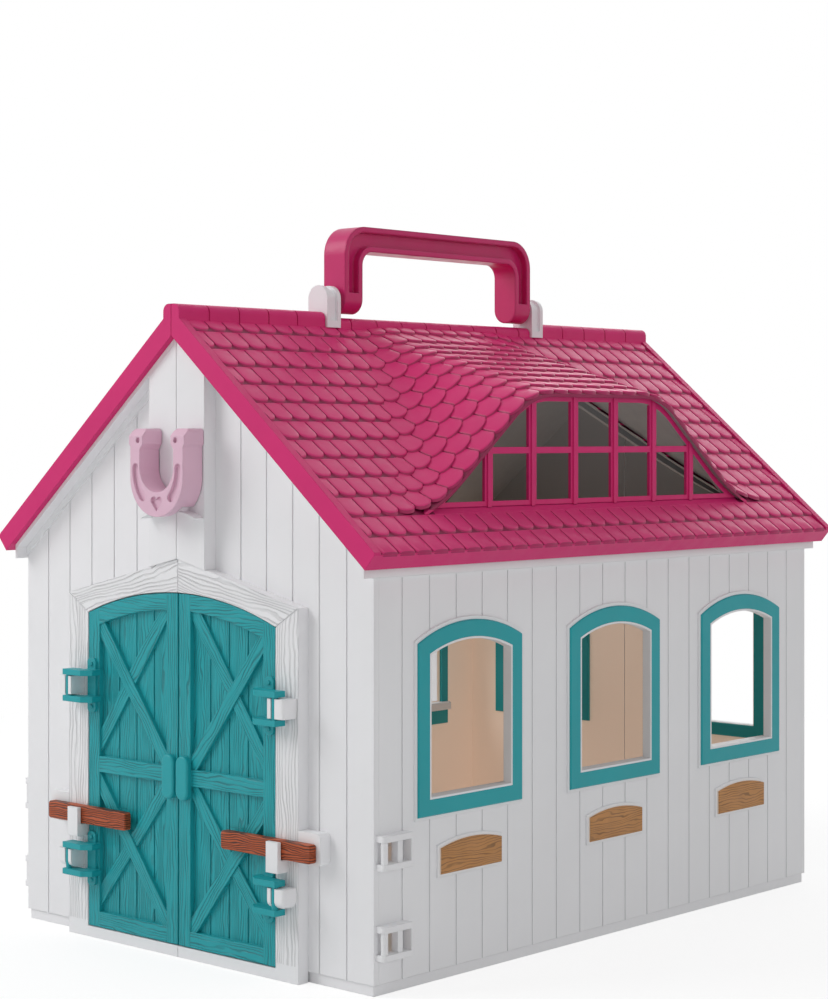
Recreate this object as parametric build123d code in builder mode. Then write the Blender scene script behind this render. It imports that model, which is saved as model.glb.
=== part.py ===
from build123d import *
import os
from math import atan2, copysign, cos, degrees, radians, sin, sqrt, tan

os.makedirs("parts", exist_ok=True)

# Toy horse stable, a carry case in two halves that are mirror images about x = 0.
# It stands on z = 0, its doors face -Y and its ridge runs along Y.
# Lengths are in millimetres and angles in degrees.

# Walls
wall_x = 100.0
wall_front = -140.5
wall_rear = 144.5
wall_thickness = 2.5
inner_x = wall_x - wall_thickness
inner_front = wall_front + wall_thickness
inner_rear = wall_rear - wall_thickness
middle_y = (wall_front + wall_rear) / 2
seam = 0.15

# Base tray
plinth_height = 4.1
plinth_inset = 0.9
tray_floor = 2.2
tray_rim = 7.0

# Plank grooves
groove_width = 0.6
groove_depth = 0.4
side_plank_width = 15.0
side_plank_count = 19
side_groove_top = 151.0
gable_plank_width = 14.05
first_gable_groove = 30.2
gable_groove_count = 5
soffit_bead = (2.5, 0.8)

# Roof
roof_pitch = 40.0
eave_x = 108.3
eave_z = 161.31
fascia_foot_x = 103.7
roof_front = -149.2
roof_rear = 153.1
verge_thickness = 2.7
verge_depth = 8.0
verge_rim_width = 3.5
roof_skin = 2.2
liner_top_depth = 7.5
liner_bottom_depth = 9.5
liner_x = 100.9
liner_lip_z = 151.5
fascia_thickness = 2.0
course_run = 8.36
first_course_foot = 9.1
course_drop = 0.9
course_step = 0.7
rib_top_depth = 2.0
rib_thickness = 1.6
rib_pitch = 56.0
rib_clearance = 0.4

# Ridge cap
ridge_half_width = 4.6
ridge_top = 254.1
ridge_low_top = 252.0
ridge_round = 3.0
ridge_tile_pitch = 15.1
ridge_tile_gap = 0.6
ridge_tile_relief = 0.5

# Dormer
dormer_lip_x = 92.7
dormer_face_x = 90.2
dormer_wall = 1.4
dormer_skin = 1.3
dormer_pitch = 16.2
dormer_length = 96.0
dormer_top = 219.65
dormer_flat = 30.0
dormer_flank_angle = 38.4
dormer_shoulder_radius = 37.6
dormer_flank_foot = (83.4, 187.65)
dormer_foot = (107.0, 173.85)
dormer_depth = 20.0
dormer_overlap = 20.0
dormer_border = 3.05
mullion_pitch = 26.8
mullion_width = 4.8
mullion_count = 6
mullion_rib = (2.3, 0.5)
crossbar_z = (195.8, 198.4)
dormer_sill_z = 177.4
attic_clearance = 1.2

# Windows: half width, sill, spring of the arch and crown
bay_pitch = 90.0
rear_window_x = 51.0
window_outer = (30.0, 62.0, 126.2, 133.5)
window_rim = (31.2, 60.8, 127.2, 134.9)
window_lip = (23.8, 68.2, 122.2, 127.1)
window_opening = (23.0, 69.0, 121.6, 126.3)
window_proud = 1.5
rim_proud = 0.8
ring_bevel = 0.4
trim_outer = (30.0, 57.5, 126.2, 133.5)
trim_inner = (25.0, 64.8, 123.1, 128.2)
rear_trim_outer = (29.8, 63.1, 126.2, 133.5)
rear_trim_inner = (24.2, 68.9, 122.5, 127.4)
trim_proud = 1.5
ledge_half_width = 28.7
ledge_z = (64.8, 68.6)
ledge_proud = 4.5
ledge_round = 1.0

# Name plates: half width, foot, spring of the arch and crown
plate_outline = (17.5, 39.6, 49.4, 51.7)
plate_backing = (18.7, 38.4, 50.4, 52.9)
backing_proud = 0.8
plate_thickness = 0.8
plate_bevel = 0.3

# Doorway and door frame
frame_half_width = 66.5
frame_proud = 5.2
frame_face = wall_front - frame_proud
frame_corner_z = 139.0
frame_apex_z = 155.0
mitre_line = (0.5, 0.4)
threshold_top = 4.3
doorway_half_width = 54.5
doorway_spring = 131.5
doorway_crown = 141.8
rebate = 1.5

# Doors
leaf_clearance = 0.4
leaf_foot = 4.7
leaf_face = -145.4
leaf_back = -141.5
leaf_recess = 2.0
stile_width = 6.5
mid_rail_z = (67.2, 73.6)
bottom_rail_top = 10.8
brace_width = 5.6
brace_overrun = 12.0
brace_drops = (0.4, 0.9)
upper_braces = (((8.4, 75.8), (47.6, 126.5)), ((8.4, 134.5), (47.6, 80.0)))
lower_braces = (((8.4, 13.3), (47.6, 62.4)), ((8.4, 64.9), (47.6, 17.6)))
door_plank_pitch = 10.5
first_door_groove = 16.4
door_groove_depth = 0.5
pull_size = (7.0, 17.4)
pull_x = 4.1
pull_z = 70.0
pull_proud = 2.5
pull_round = 1.0

# Door hinges
rod_x = 59.8
rod_y = -151.2
rod_radius = 1.2
socket_radius = 1.25
loop_front = -153.05
loop_back = -147.7
loop_outer_x = 61.6
arm_thickness = 2.3
arm_bevel = (3.9, 3.0)
arm_overhang = 2.4
loop_height = 13.0
loop_feet = (25.5, 95.5)
strap_x = (49.0, 54.0)
strap_height = 22.0
strap_corner = 2.0
strap_proud = 1.0
rivet_pitch = 17.4
rivet_radius = 0.9
rivet_proud = 0.5
clip_x = (57.0, 65.5)
clip_front = -152.5
clip_clearance = 0.5
clip_mouth = 2.0
clip_round = 1.2

# Drop bars
bar_x = (27.8, 75.9)
bar_z = (46.1, 53.1)
bar_y = (-149.0, -145.9)
bar_pivot_x = 70.0
bar_pivot_z = (bar_z[0] + bar_z[1]) / 2
bar_round = 1.2
bar_bevel = 0.4
bar_stub_radius = 2.0
bar_bore_radius = 2.06
bar_notch_clearance = 0.5
bar_screw_head = (3.4, 1.5)
bar_screw_shank = (0.75, 4.5)
bar_screw_bore = (0.8, 5.0)
bar_screw_gap = 0.1
pivot_block_x = (66.5, 78.0)
pivot_block_z = (45.0, 57.0)
pivot_block_round = 2.0
hook_x = (54.7, 61.0)
hook_z = (41.0, 52.5)
hook_y = (-151.0, -149.3)
hook_clearance = 0.3
hook_round = 3.0

# Pilasters and the horseshoe latch
pilaster_half_width = 16.0
front_pilaster_proud = 6.0
rear_pilaster_proud = 5.6
pilaster_wall = 2.5
pilaster_face = wall_front - front_pilaster_proud
pilaster_core_x = (1.55, pilaster_half_width - pilaster_wall)
pilaster_core_foot = frame_apex_z + 3.0
pilaster_core_depth = 4.0
stop_points = ((6.6, 173.3), (11.4, 172.4), (15.4, 170.8))
stop_thickness = 1.0
stop_proud = 5.0
shoe_front = -156.8
shoe_back = -146.8
shoe_half_width = 15.25
shoe_bottom = 171.5
shoe_top = 205.6
shoe_bend_z = 186.75
shoe_inner_half_width = 9.8
shoe_inner_bend_z = 190.8
heel_half_width = 16.0
heel_inner_half_width = 8.2
heel_foot = 199.6
heel_corner = 1.0
heel_chamfer = 2.8
shoe_rear_depth = 6.0
shoe_rear_foot = 175.5
relief_depth = 1.2
nail_hole = (10.9, 201.1)
nail_hole_radius = 1.1
nail_slot_points = ((12.3, 190.4), (11.4, 184.6), (8.1, 179.1))
nail_slot_width = 3.4
heart_tip_z = 173.6
heart_side = (3.15, 177.3)
heart_lobe = (1.65, 179.3)
heart_cleft_z = 178.2
latch_travel = 14.0
stem_x = (-13.0, -10.2)
stem_z = (184.0, 191.0)
slot_clearance = 0.3
slide_plate_gap = 0.3
slide_plate_z = (178.0, 194.0)
slide_plate_thickness = 2.0
latch_screw_head = (1.7, 1.2)
latch_screw_shank = (0.8, 5.0)
latch_screw_bore = (0.85, 4.0)

# Rear hinge
hinge_y = 153.8
knuckle_radius = 3.2
knuckle_bore = 1.25
hinge_pin_radius = 1.2
knuckle_foot = 8.0
knuckle_pitch = 27.6
knuckle_gap = 0.5
knuckle_count = 5
hinge_cap = (2.6, 1.6)

# Side connectors
connector_y = (-139.5, -124.0)
connector_feet = (13.0, 45.7)
connector_height = 12.6
connector_proud = 4.2
connector_arm = 2.3
connector_round = 1.6
connector_rod_radius = 1.3
connector_rod_y = -137.7
connector_hole_y = (-133.0, -127.2)
connector_bar_y = (-131.2, -128.6)
connector_bar_proud = 3.2
connector_plate_y = (-125.0, -124.0)

# Carrying handle
handle_half_width = 6.2
handle_pivot_z = 260.0
handle_top = 290.5
handle_reach = 60.5
handle_thickness = 10.4
handle_corner = 12.0
handle_inner_corner = 6.0
handle_channel_depth = 3.4
handle_channel_foot = 262.5
handle_rim = 2.3
bracket_y = (62.5, 70.4)
bracket_half_width = 5.6
bracket_top = 265.2
bracket_foot = 247.6
bracket_rim = 2.0
bracket_clearance = 0.3
bracket_base_height = 3.0
bracket_seat_half_width = 12.0
bracket_seat_margin = 3.0
bracket_seat_depth = 2.2
pivot_pin_radius = 2.0
pivot_bore_radius = 2.05
pivot_boss_radius = 3.6
pivot_boss_length = 1.7
pivot_depth = 8.0
pivot_seat = 5.0
pivot_end_play = 0.3
bracket_groove = 1.2
peg_x = -3.0
peg_radius = 1.2
peg_length = 3.5
peg_clearance = 0.05

# Screws
screw_shank_radius = 1.2
screw_hole_radius = 1.25
screw_head_radius = 2.3
screw_head_height = 1.4
screw_head_clearance = 0.2
screw_length = 8.5
screw_tip_clearance = 0.5
boss_size = 5.0
boss_top = 12.5


def roof_z(x, depth=0.0):
    """Height of the roof slope at x, or of a line that lies depth under it."""
    slope = tan(radians(roof_pitch))
    return eave_z + (eave_x - abs(x)) * slope - depth / cos(radians(roof_pitch))


def front_plane(y):
    """Upright plane at y, drawn in X and Z and extruded towards the front."""
    return Plane.XZ.offset(-y)


def rear_plane(y):
    """Upright plane at y, drawn in -X and Z and extruded towards the rear."""
    return Plane(origin=(0, y, 0), x_dir=(-1, 0, 0), z_dir=(0, 1, 0))


def side_plane(x):
    """Upright plane at x, drawn in Y and Z and extruded away from the middle."""
    return Plane.YZ.offset(x)


def block(x_range, y_range, z_range, mode=Mode.ADD):
    """Box between two values along each axis."""
    low, high = zip(x_range, y_range, z_range)
    size = [far - near for near, far in zip(low, high)]
    with Locations(low):
        Box(*size, align=(Align.MIN, Align.MIN, Align.MIN), mode=mode)


def rod(foot, radius, length, mode=Mode.ADD):
    """Upright round rod or bore standing on its foot."""
    with Locations(foot):
        Cylinder(radius, length, align=(Align.CENTER, Align.CENTER, Align.MIN), mode=mode)


def arched_panel(half_width, foot, spring, crown):
    """Upright outline with an arched top, about its own middle line."""
    with BuildSketch() as panel:
        with BuildLine():
            Polyline(
                (-half_width, spring), (-half_width, foot), (half_width, foot), (half_width, spring)
            )
            ThreePointArc((half_width, spring), (0, crown), (-half_width, spring))
        make_face()
    return panel.sketch


def add_windows(wall, plane_at, face, centres):
    """Wall with a rim, a frame seat and a thin lip round each of its window openings."""
    with BuildPart() as pierced:
        add(wall)
        for centre in centres:
            with BuildSketch(plane_at(face - groove_depth)):
                with Locations((centre, 0)):
                    add(arched_panel(*window_rim))
            extrude(amount=groove_depth + rim_proud)
            with BuildSketch(plane_at(face)):
                with Locations((centre, 0)):
                    add(arched_panel(*window_outer))
            extrude(amount=rim_proud, mode=Mode.SUBTRACT)
            with BuildSketch(plane_at(face)):
                with Locations((centre, 0)):
                    add(arched_panel(*window_lip))
            extrude(amount=window_proud)
            with BuildSketch(plane_at(face - wall_thickness)):
                with Locations((centre, 0)):
                    add(arched_panel(*window_opening))
            extrude(amount=wall_thickness + window_proud, mode=Mode.SUBTRACT)
    return pierced.part


def window_ring(plane, centre, outer, inner, thickness):
    """Flat arched ring on a plane, with a small bevel round its outside."""
    with BuildPart() as ring:
        with BuildSketch(plane):
            with Locations((centre, 0)):
                add(arched_panel(*outer))
                add(arched_panel(*inner), mode=Mode.SUBTRACT)
        extrude(amount=thickness)
        outward = Axis(plane.origin, plane.z_dir * copysign(1, thickness))
        chamfer(ring.faces().sort_by(outward)[-1].outer_wire().edges(), length=ring_bevel)
    return ring


def save(piece, name):
    """Write one finished piece under the name of its node."""
    piece.part.label = name
    export_step(piece.part, f"parts/{name}.step")


def save_pair(piece, name):
    """Write a right-hand piece and its mirror image for the left half."""
    with BuildPart() as left_piece:
        mirror(piece.part, about=Plane.YZ)
    save(piece, f"{name}_right")
    save(left_piece, f"{name}_left")


bay_centres = [middle_y + step * bay_pitch for step in (-1, 0, 1)]
gable_grooves = [first_gable_groove + n * gable_plank_width for n in range(gable_groove_count)]
side_grooves = [wall_front + n * side_plank_width for n in range(1, side_plank_count)]
boss_centres = [inner_front + boss_size / 2, middle_y, inner_rear - boss_size / 2]
boss_x = inner_x - boss_size / 2


# Base tray and the screws that hold the walls on it
with BuildPart() as base_tray:
    tray_x = wall_x - plinth_inset
    tray_front = wall_front + plinth_inset
    tray_rear = wall_rear - plinth_inset
    block((seam, tray_x), (tray_front, tray_rear), (0, plinth_height))
    block(
        (seam + tray_rim, tray_x - tray_rim),
        (tray_front + tray_rim, tray_rear - tray_rim),
        (tray_floor, plinth_height),
        mode=Mode.SUBTRACT,
    )
    for y in boss_centres:
        rod((boss_x, y, 0), screw_hole_radius, plinth_height, mode=Mode.SUBTRACT)
        head_radius = screw_head_radius + screw_head_clearance
        rod((boss_x, y, 0), head_radius, screw_head_height, mode=Mode.SUBTRACT)
save_pair(base_tray, "base_tray")

with BuildPart() as base_screws:
    for y in boss_centres:
        head_foot = screw_head_clearance
        rod((boss_x, y, head_foot), screw_head_radius, screw_head_height - head_foot)
        rod((boss_x, y, screw_head_height), screw_shank_radius, screw_length)
save_pair(base_screws, "base_screws")


# Side wall with its plank grooves, plate backings and window openings
backing = arched_panel(*plate_backing)
with BuildPart() as plain_side_wall:
    with BuildSketch(front_plane(inner_rear)):
        Polygon(
            (inner_x, plinth_height),
            (wall_x, plinth_height),
            (wall_x, roof_z(wall_x, liner_bottom_depth)),
            (inner_x, roof_z(inner_x, liner_bottom_depth)),
            align=None,
        )
    extrude(amount=inner_rear - inner_front)
    for y in side_grooves:
        block(
            (wall_x - groove_depth, wall_x),
            (y - groove_width / 2, y + groove_width / 2),
            (plinth_height, side_groove_top),
            mode=Mode.SUBTRACT,
        )
    with BuildSketch(side_plane(wall_x - groove_depth)):
        for y in bay_centres:
            with Locations((y, 0)):
                add(backing)
    extrude(amount=groove_depth + backing_proud)
    for foot in connector_feet:
        block(
            (inner_x, wall_x),
            connector_hole_y,
            (foot + connector_arm, foot + connector_height - connector_arm),
            mode=Mode.SUBTRACT,
        )
    bore_length = screw_head_height + screw_length + screw_tip_clearance - plinth_height
    for y in boss_centres:
        block(
            (inner_x - boss_size, inner_x),
            (y - boss_size / 2, y + boss_size / 2),
            (plinth_height, boss_top),
        )
        rod((boss_x, y, plinth_height), screw_hole_radius, bore_length, mode=Mode.SUBTRACT)

with BuildPart() as side_wall:
    add(add_windows(plain_side_wall.part, side_plane, wall_x, bay_centres))
save_pair(side_wall, "side_wall")


# Side connectors, where the next building of the set clips on
with BuildPart() as side_connectors:
    for foot in connector_feet:
        arm_feet = (foot, foot + connector_height - connector_arm)
        for arm_foot in arm_feet:
            with BuildSketch(Plane.XY.offset(arm_foot)):
                with Locations((wall_x, connector_y[0])):
                    Rectangle(
                        connector_proud, connector_y[1] - connector_y[0], align=(Align.MIN, Align.MIN)
                    )
            extrude(amount=connector_arm)
        between = (foot + connector_arm, foot + connector_height - connector_arm)
        block((wall_x, wall_x + connector_proud), connector_plate_y, between)
        block((wall_x, wall_x + connector_bar_proud), connector_bar_y, between)
        rod(
            (wall_x + connector_proud - connector_round, connector_rod_y, between[0]),
            connector_rod_radius,
            between[1] - between[0],
        )
    outer_edges = side_connectors.edges().filter_by(Axis.Z).group_by(Axis.X)[-1]
    fillet(outer_edges.group_by(Axis.Y)[0], radius=connector_round)
save_pair(side_connectors, "side_connectors")


# Window frames outside, trims and ledges inside, and the name plates
trim_x = inner_x - trim_proud
ledge_x = inner_x - ledge_proud
for number, y in enumerate(bay_centres, start=1):
    frame = window_ring(side_plane(wall_x), y, window_outer, window_lip, window_proud)
    save_pair(frame, f"window_frame_{number}")
    trim = window_ring(side_plane(inner_x), y, trim_outer, trim_inner, -trim_proud)
    save_pair(trim, f"window_trim_{number}")

    with BuildPart() as window_ledge:
        block((trim_x, inner_x), (y - trim_inner[0], y + trim_inner[0]), ledge_z)
        block((ledge_x, trim_x), (y - ledge_half_width, y + ledge_half_width), ledge_z)
        ledge_edges = window_ledge.edges().group_by(Axis.X)[0].filter_by(Axis.Y)
        fillet(ledge_edges.sort_by(Axis.Z)[-1], radius=ledge_round)
    save_pair(window_ledge, f"window_ledge_{number}")

    with BuildPart() as name_plate:
        with BuildSketch(side_plane(wall_x + backing_proud)):
            with Locations((y, 0)):
                add(arched_panel(*plate_outline))
        extrude(amount=plate_thickness)
        chamfer(name_plate.faces().sort_by(Axis.X)[-1].edges(), length=plate_bevel)
    save_pair(name_plate, f"name_plate_{number}")

rear_frame = window_ring(
    rear_plane(wall_rear), -rear_window_x, window_outer, window_lip, window_proud
)
save_pair(rear_frame, "rear_window_frame")
rear_trim = window_ring(
    rear_plane(inner_rear), -rear_window_x, rear_trim_outer, rear_trim_inner, -trim_proud
)
save_pair(rear_trim, "rear_window_trim")


# Front gable: panel, pilaster, soffit bead and the block the drop bar turns on
doorway_radius = (doorway_half_width**2 + (doorway_crown - doorway_spring) ** 2) / (
    2 * (doorway_crown - doorway_spring)
)
arch_centre_z = doorway_crown - doorway_radius


def arch_z(x, radius):
    """Height of an arch about the doorway's centre at x."""
    return arch_centre_z + sqrt(radius**2 - x**2)


def frame_top(x):
    """Height of the top edge of the door frame at x."""
    return frame_apex_z - (frame_apex_z - frame_corner_z) * x / frame_half_width


def doorway(half_width, foot, radius):
    """Right half of an arched opening, from the split plane outwards."""
    with BuildSketch() as half_opening:
        with BuildLine():
            Polyline(
                (-1, arch_z(1, radius)),
                (-1, foot),
                (half_width, foot),
                (half_width, arch_z(half_width, radius)),
            )
            ThreePointArc(
                (half_width, arch_z(half_width, radius)),
                (half_width / 2, arch_z(half_width / 2, radius)),
                (-1, arch_z(1, radius)),
            )
        make_face()
    return half_opening.sketch


def add_gable_panel(y_inner, y_outer):
    """Gable panel from the plinth up to the soffit, with its plank grooves."""
    outward = 1 if y_outer < y_inner else -1
    with BuildPart() as panel:
        with BuildSketch(front_plane(y_inner)):
            Polygon(
                (seam, plinth_height),
                (wall_x, plinth_height),
                (wall_x, roof_z(wall_x, liner_bottom_depth)),
                (seam, roof_z(seam, liner_bottom_depth)),
                align=None,
            )
        extrude(amount=outward * wall_thickness)
        for x in gable_grooves:
            groove_y = sorted((y_outer, y_outer + outward * groove_depth))
            block(
                (x - groove_width / 2, x + groove_width / 2),
                groove_y,
                (plinth_height, roof_z(x)),
                mode=Mode.SUBTRACT,
            )
        bead_height, bead_proud = soffit_bead
        bead_foot_depth = liner_bottom_depth + bead_height
        with BuildSketch(front_plane(y_outer)):
            Polygon(
                (pilaster_half_width, roof_z(pilaster_half_width, liner_bottom_depth)),
                (wall_x, roof_z(wall_x, liner_bottom_depth)),
                (wall_x, roof_z(wall_x, bead_foot_depth)),
                (pilaster_half_width, roof_z(pilaster_half_width, bead_foot_depth)),
                align=None,
            )
        extrude(amount=outward * bead_proud)
    return panel.part


with BuildPart() as front_gable:
    add(add_gable_panel(inner_front, wall_front))
    with BuildSketch(front_plane(wall_front)):
        Polygon(
            (seam, frame_top(seam)),
            (pilaster_half_width, frame_top(pilaster_half_width)),
            (pilaster_half_width, roof_z(pilaster_half_width, liner_bottom_depth)),
            (seam, roof_z(seam, liner_bottom_depth)),
            align=None,
        )
    extrude(amount=front_pilaster_proud)
    core_top_depth = liner_bottom_depth + pilaster_core_depth
    with BuildSketch(front_plane(inner_front)):
        Polygon(
            (pilaster_core_x[0], pilaster_core_foot),
            (pilaster_core_x[1], pilaster_core_foot),
            (pilaster_core_x[1], roof_z(pilaster_core_x[1], core_top_depth)),
            (pilaster_core_x[0], roof_z(pilaster_core_x[0], core_top_depth)),
            align=None,
        )
    extrude(amount=wall_thickness + front_pilaster_proud - pilaster_wall, mode=Mode.SUBTRACT)
    with BuildSketch(front_plane(inner_front)):
        add(doorway(doorway_half_width - rebate, 0, doorway_radius - rebate))
    extrude(amount=wall_thickness, mode=Mode.SUBTRACT)
    with BuildSketch(front_plane(pilaster_face)):
        with BuildLine():
            ThreePointArc(*stop_points)
        trace(line_width=stop_thickness)
    extrude(amount=stop_proud)
    block(pivot_block_x, (frame_face, wall_front), pivot_block_z)
    block_edges = front_gable.edges().filter_by(Axis.Y).filter_by_position(
        Axis.X, pivot_block_x[1] - 0.01, pivot_block_x[1] + 0.01
    )
    fillet(block_edges, radius=pivot_block_round)
    with BuildSketch(front_plane(inner_front)):
        with Locations((bar_pivot_x, bar_pivot_z)):
            Circle(bar_bore_radius)
    extrude(amount=wall_thickness + frame_proud, mode=Mode.SUBTRACT)
save(front_gable, "front_gable_right")

# The left pilaster also has the slot that the latch stem slides in
with BuildPart() as front_gable_left:
    mirror(front_gable.part, about=Plane.YZ)
    block(
        (stem_x[0] - slot_clearance, stem_x[1] + slot_clearance),
        (pilaster_face, pilaster_face + pilaster_wall),
        (stem_z[0] - slot_clearance, stem_z[1] + latch_travel + slot_clearance),
        mode=Mode.SUBTRACT,
    )
save(front_gable_left, "front_gable_left")


# Door frame with the hinge clips and the hook that the drop bar rests in
with BuildPart() as door_frame:
    with BuildSketch(front_plane(wall_front)):
        Polygon(
            (seam, 0),
            (frame_half_width, 0),
            (frame_half_width, frame_corner_z),
            (seam, frame_top(seam)),
            align=None,
        )
        add(doorway(doorway_half_width, threshold_top, doorway_radius), mode=Mode.SUBTRACT)
    extrude(amount=frame_proud)
    with BuildSketch(front_plane(frame_face + mitre_line[1])):
        with BuildLine():
            Line(
                (2 * doorway_half_width - frame_half_width, 2 * doorway_spring - frame_corner_z),
                (2 * frame_half_width - doorway_half_width, 2 * frame_corner_z - doorway_spring),
            )
        trace(line_width=mitre_line[0])
    extrude(amount=mitre_line[1], mode=Mode.SUBTRACT)
    for foot in loop_feet:
        clip_foot = foot + arm_thickness + clip_clearance
        clip_z = (clip_foot, foot + loop_height - arm_thickness - clip_clearance)
        mouth_x = (rod_x - clip_mouth / 2, rod_x + clip_mouth / 2)
        block(clip_x, (clip_front, frame_face), clip_z)
        rod((rod_x, rod_y, clip_foot), socket_radius, clip_z[1] - clip_foot, mode=Mode.SUBTRACT)
        block(mouth_x, (clip_front, rod_y), clip_z, mode=Mode.SUBTRACT)
    clip_edges = door_frame.edges().filter_by(Axis.Z).filter_by_position(
        Axis.X, clip_x[1] - 0.01, clip_x[1] + 0.01
    )
    fillet(clip_edges.group_by(Axis.Y)[0], radius=clip_round)
    block(hook_x, (hook_y[0], frame_face), (hook_z[0], bar_z[0] - hook_clearance))
    block(hook_x, hook_y, hook_z)
    hook_edges = door_frame.edges().filter_by(Axis.X).group_by(Axis.Y)[0]
    fillet(hook_edges.sort_by(Axis.Z)[0], radius=hook_round)
save_pair(door_frame, "door_frame")


# Rear gable: panel, pilaster and hinge knuckles, alternating between the halves
rear_pilaster_face = wall_rear + rear_pilaster_proud
rear_panel = add_windows(
    add_gable_panel(inner_rear, wall_rear), rear_plane, wall_rear, [-rear_window_x]
)
with BuildPart() as rear_gable:
    add(rear_panel)
    with BuildSketch(front_plane(wall_rear)):
        Polygon(
            (seam, plinth_height),
            (pilaster_half_width, plinth_height),
            (pilaster_half_width, roof_z(pilaster_half_width, liner_bottom_depth)),
            (seam, roof_z(seam, liner_bottom_depth)),
            align=None,
        )
    extrude(amount=-rear_pilaster_proud)


def add_knuckles(gable, side, numbers):
    """Rear gable of one side with its own hinge knuckles."""
    with BuildPart() as hinged:
        add(gable)
        for number in numbers:
            foot = knuckle_foot + number * knuckle_pitch
            length = knuckle_pitch - knuckle_gap
            web_x = sorted((side * seam, side * knuckle_radius))
            block(web_x, (rear_pilaster_face, hinge_y), (foot, foot + length))
            rod((0, hinge_y, foot), knuckle_radius, length)
            rod((0, hinge_y, foot), knuckle_bore, length, mode=Mode.SUBTRACT)
    return hinged


with BuildPart() as left_rear_panel:
    mirror(rear_gable.part, about=Plane.YZ)
save(add_knuckles(rear_gable.part, 1, range(1, knuckle_count, 2)), "rear_gable_right")
save(add_knuckles(left_rear_panel.part, -1, range(0, knuckle_count, 2)), "rear_gable_left")

with BuildPart() as rear_hinge_pin:
    pin_top = knuckle_foot + knuckle_count * knuckle_pitch - knuckle_gap
    rod((0, hinge_y, knuckle_foot), hinge_pin_radius, pin_top - knuckle_foot)
    rod((0, hinge_y, pin_top), *hinge_cap)
save(rear_hinge_pin, "rear_hinge_pin")


def dormer_outline(inset, rise):
    """Outline of the dormer's lip, shrunk by inset and raised by rise."""
    with BuildSketch() as lip:
        with BuildLine():
            shoulder_y = dormer_flat + dormer_shoulder_radius * sin(radians(dormer_flank_angle))
            shoulder_z = dormer_top - dormer_shoulder_radius * (1 - cos(radians(dormer_flank_angle)))
            flank = (cos(radians(dormer_flank_angle)), -sin(radians(dormer_flank_angle)))
            foot_z = dormer_foot[1] - dormer_depth
            Line((-dormer_overlap, dormer_top), (dormer_flat, dormer_top))
            TangentArc((dormer_flat, dormer_top), (shoulder_y, shoulder_z), tangent=(1, 0))
            Line((shoulder_y, shoulder_z), dormer_flank_foot)
            TangentArc(dormer_flank_foot, dormer_foot, tangent=flank)
            Polyline(
                dormer_foot,
                (dormer_foot[0], foot_z),
                (-dormer_overlap, foot_z),
                (-dormer_overlap, dormer_top),
            )
        make_face()
        if inset > 0:
            offset(amount=-inset, kind=Kind.INTERSECTION)
        mirror(about=Plane.YZ)
    return Pos(middle_y, rise) * lip.sketch


def dormer_prism(inset, x, length):
    """Dormer outline at x, extruded back and up along the dormer roof."""
    climb = tan(radians(dormer_pitch))
    with BuildPart() as prism:
        with BuildSketch(side_plane(x)):
            add(dormer_outline(inset, (dormer_lip_x - x) * climb))
        extrude(amount=length, dir=(-cos(radians(dormer_pitch)), 0, sin(radians(dormer_pitch))))
    return prism.part


# Roof liner, which closes the walls and carries the roof shell
liner_front = roof_front + verge_thickness
liner_rear = roof_rear - verge_thickness
attic_inset = dormer_skin + attic_clearance
attic_x = dormer_face_x - dormer_wall - attic_clearance
attic_opening = dormer_prism(attic_inset, attic_x, dormer_length)
with BuildPart() as roof_liner:
    with BuildSketch(front_plane(liner_rear)):
        Polygon(
            (seam, roof_z(seam, liner_top_depth)),
            (liner_x, roof_z(liner_x, liner_top_depth)),
            (liner_x, liner_lip_z),
            (wall_x, liner_lip_z),
            (wall_x, roof_z(wall_x, liner_bottom_depth)),
            (seam, roof_z(seam, liner_bottom_depth)),
            align=None,
        )
    extrude(amount=liner_rear - liner_front)
    add(attic_opening, mode=Mode.SUBTRACT)
save_pair(roof_liner, "roof_liner")


# Roof shell: stepped courses, verges, fascia, ribs and ridge cap
def course_profile():
    """Points of the stepped slope from the ridge down to the eave tip."""
    points = [(seam, roof_z(seam, course_drop))]
    foot = first_course_foot
    while foot < eave_x - course_run / 2:
        points.append((foot, roof_z(foot, course_drop)))
        points.append((foot, roof_z(foot, course_drop + course_step)))
        foot += course_run
    points.append((eave_x, roof_z(eave_x, course_drop)))
    return points


def ridge_profile(half_width, top, inset):
    """Right half of the ridge cap's rounded section, shrunk by inset."""
    with BuildSketch() as section:
        shoulder = half_width - inset
        crown = top - inset
        with BuildLine():
            Polyline(
                (seam, roof_z(half_width) - 1.0),
                (seam, crown),
                (shoulder - ridge_round, crown),
            )
            TangentArc(
                (shoulder - ridge_round, crown),
                (shoulder, crown - ridge_round),
                tangent=(1, 0),
            )
            Polyline(
                (shoulder, crown - ridge_round),
                (shoulder, roof_z(half_width) - 1.0),
                (seam, roof_z(half_width) - 1.0),
            )
        make_face()
    return section.sketch


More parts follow.
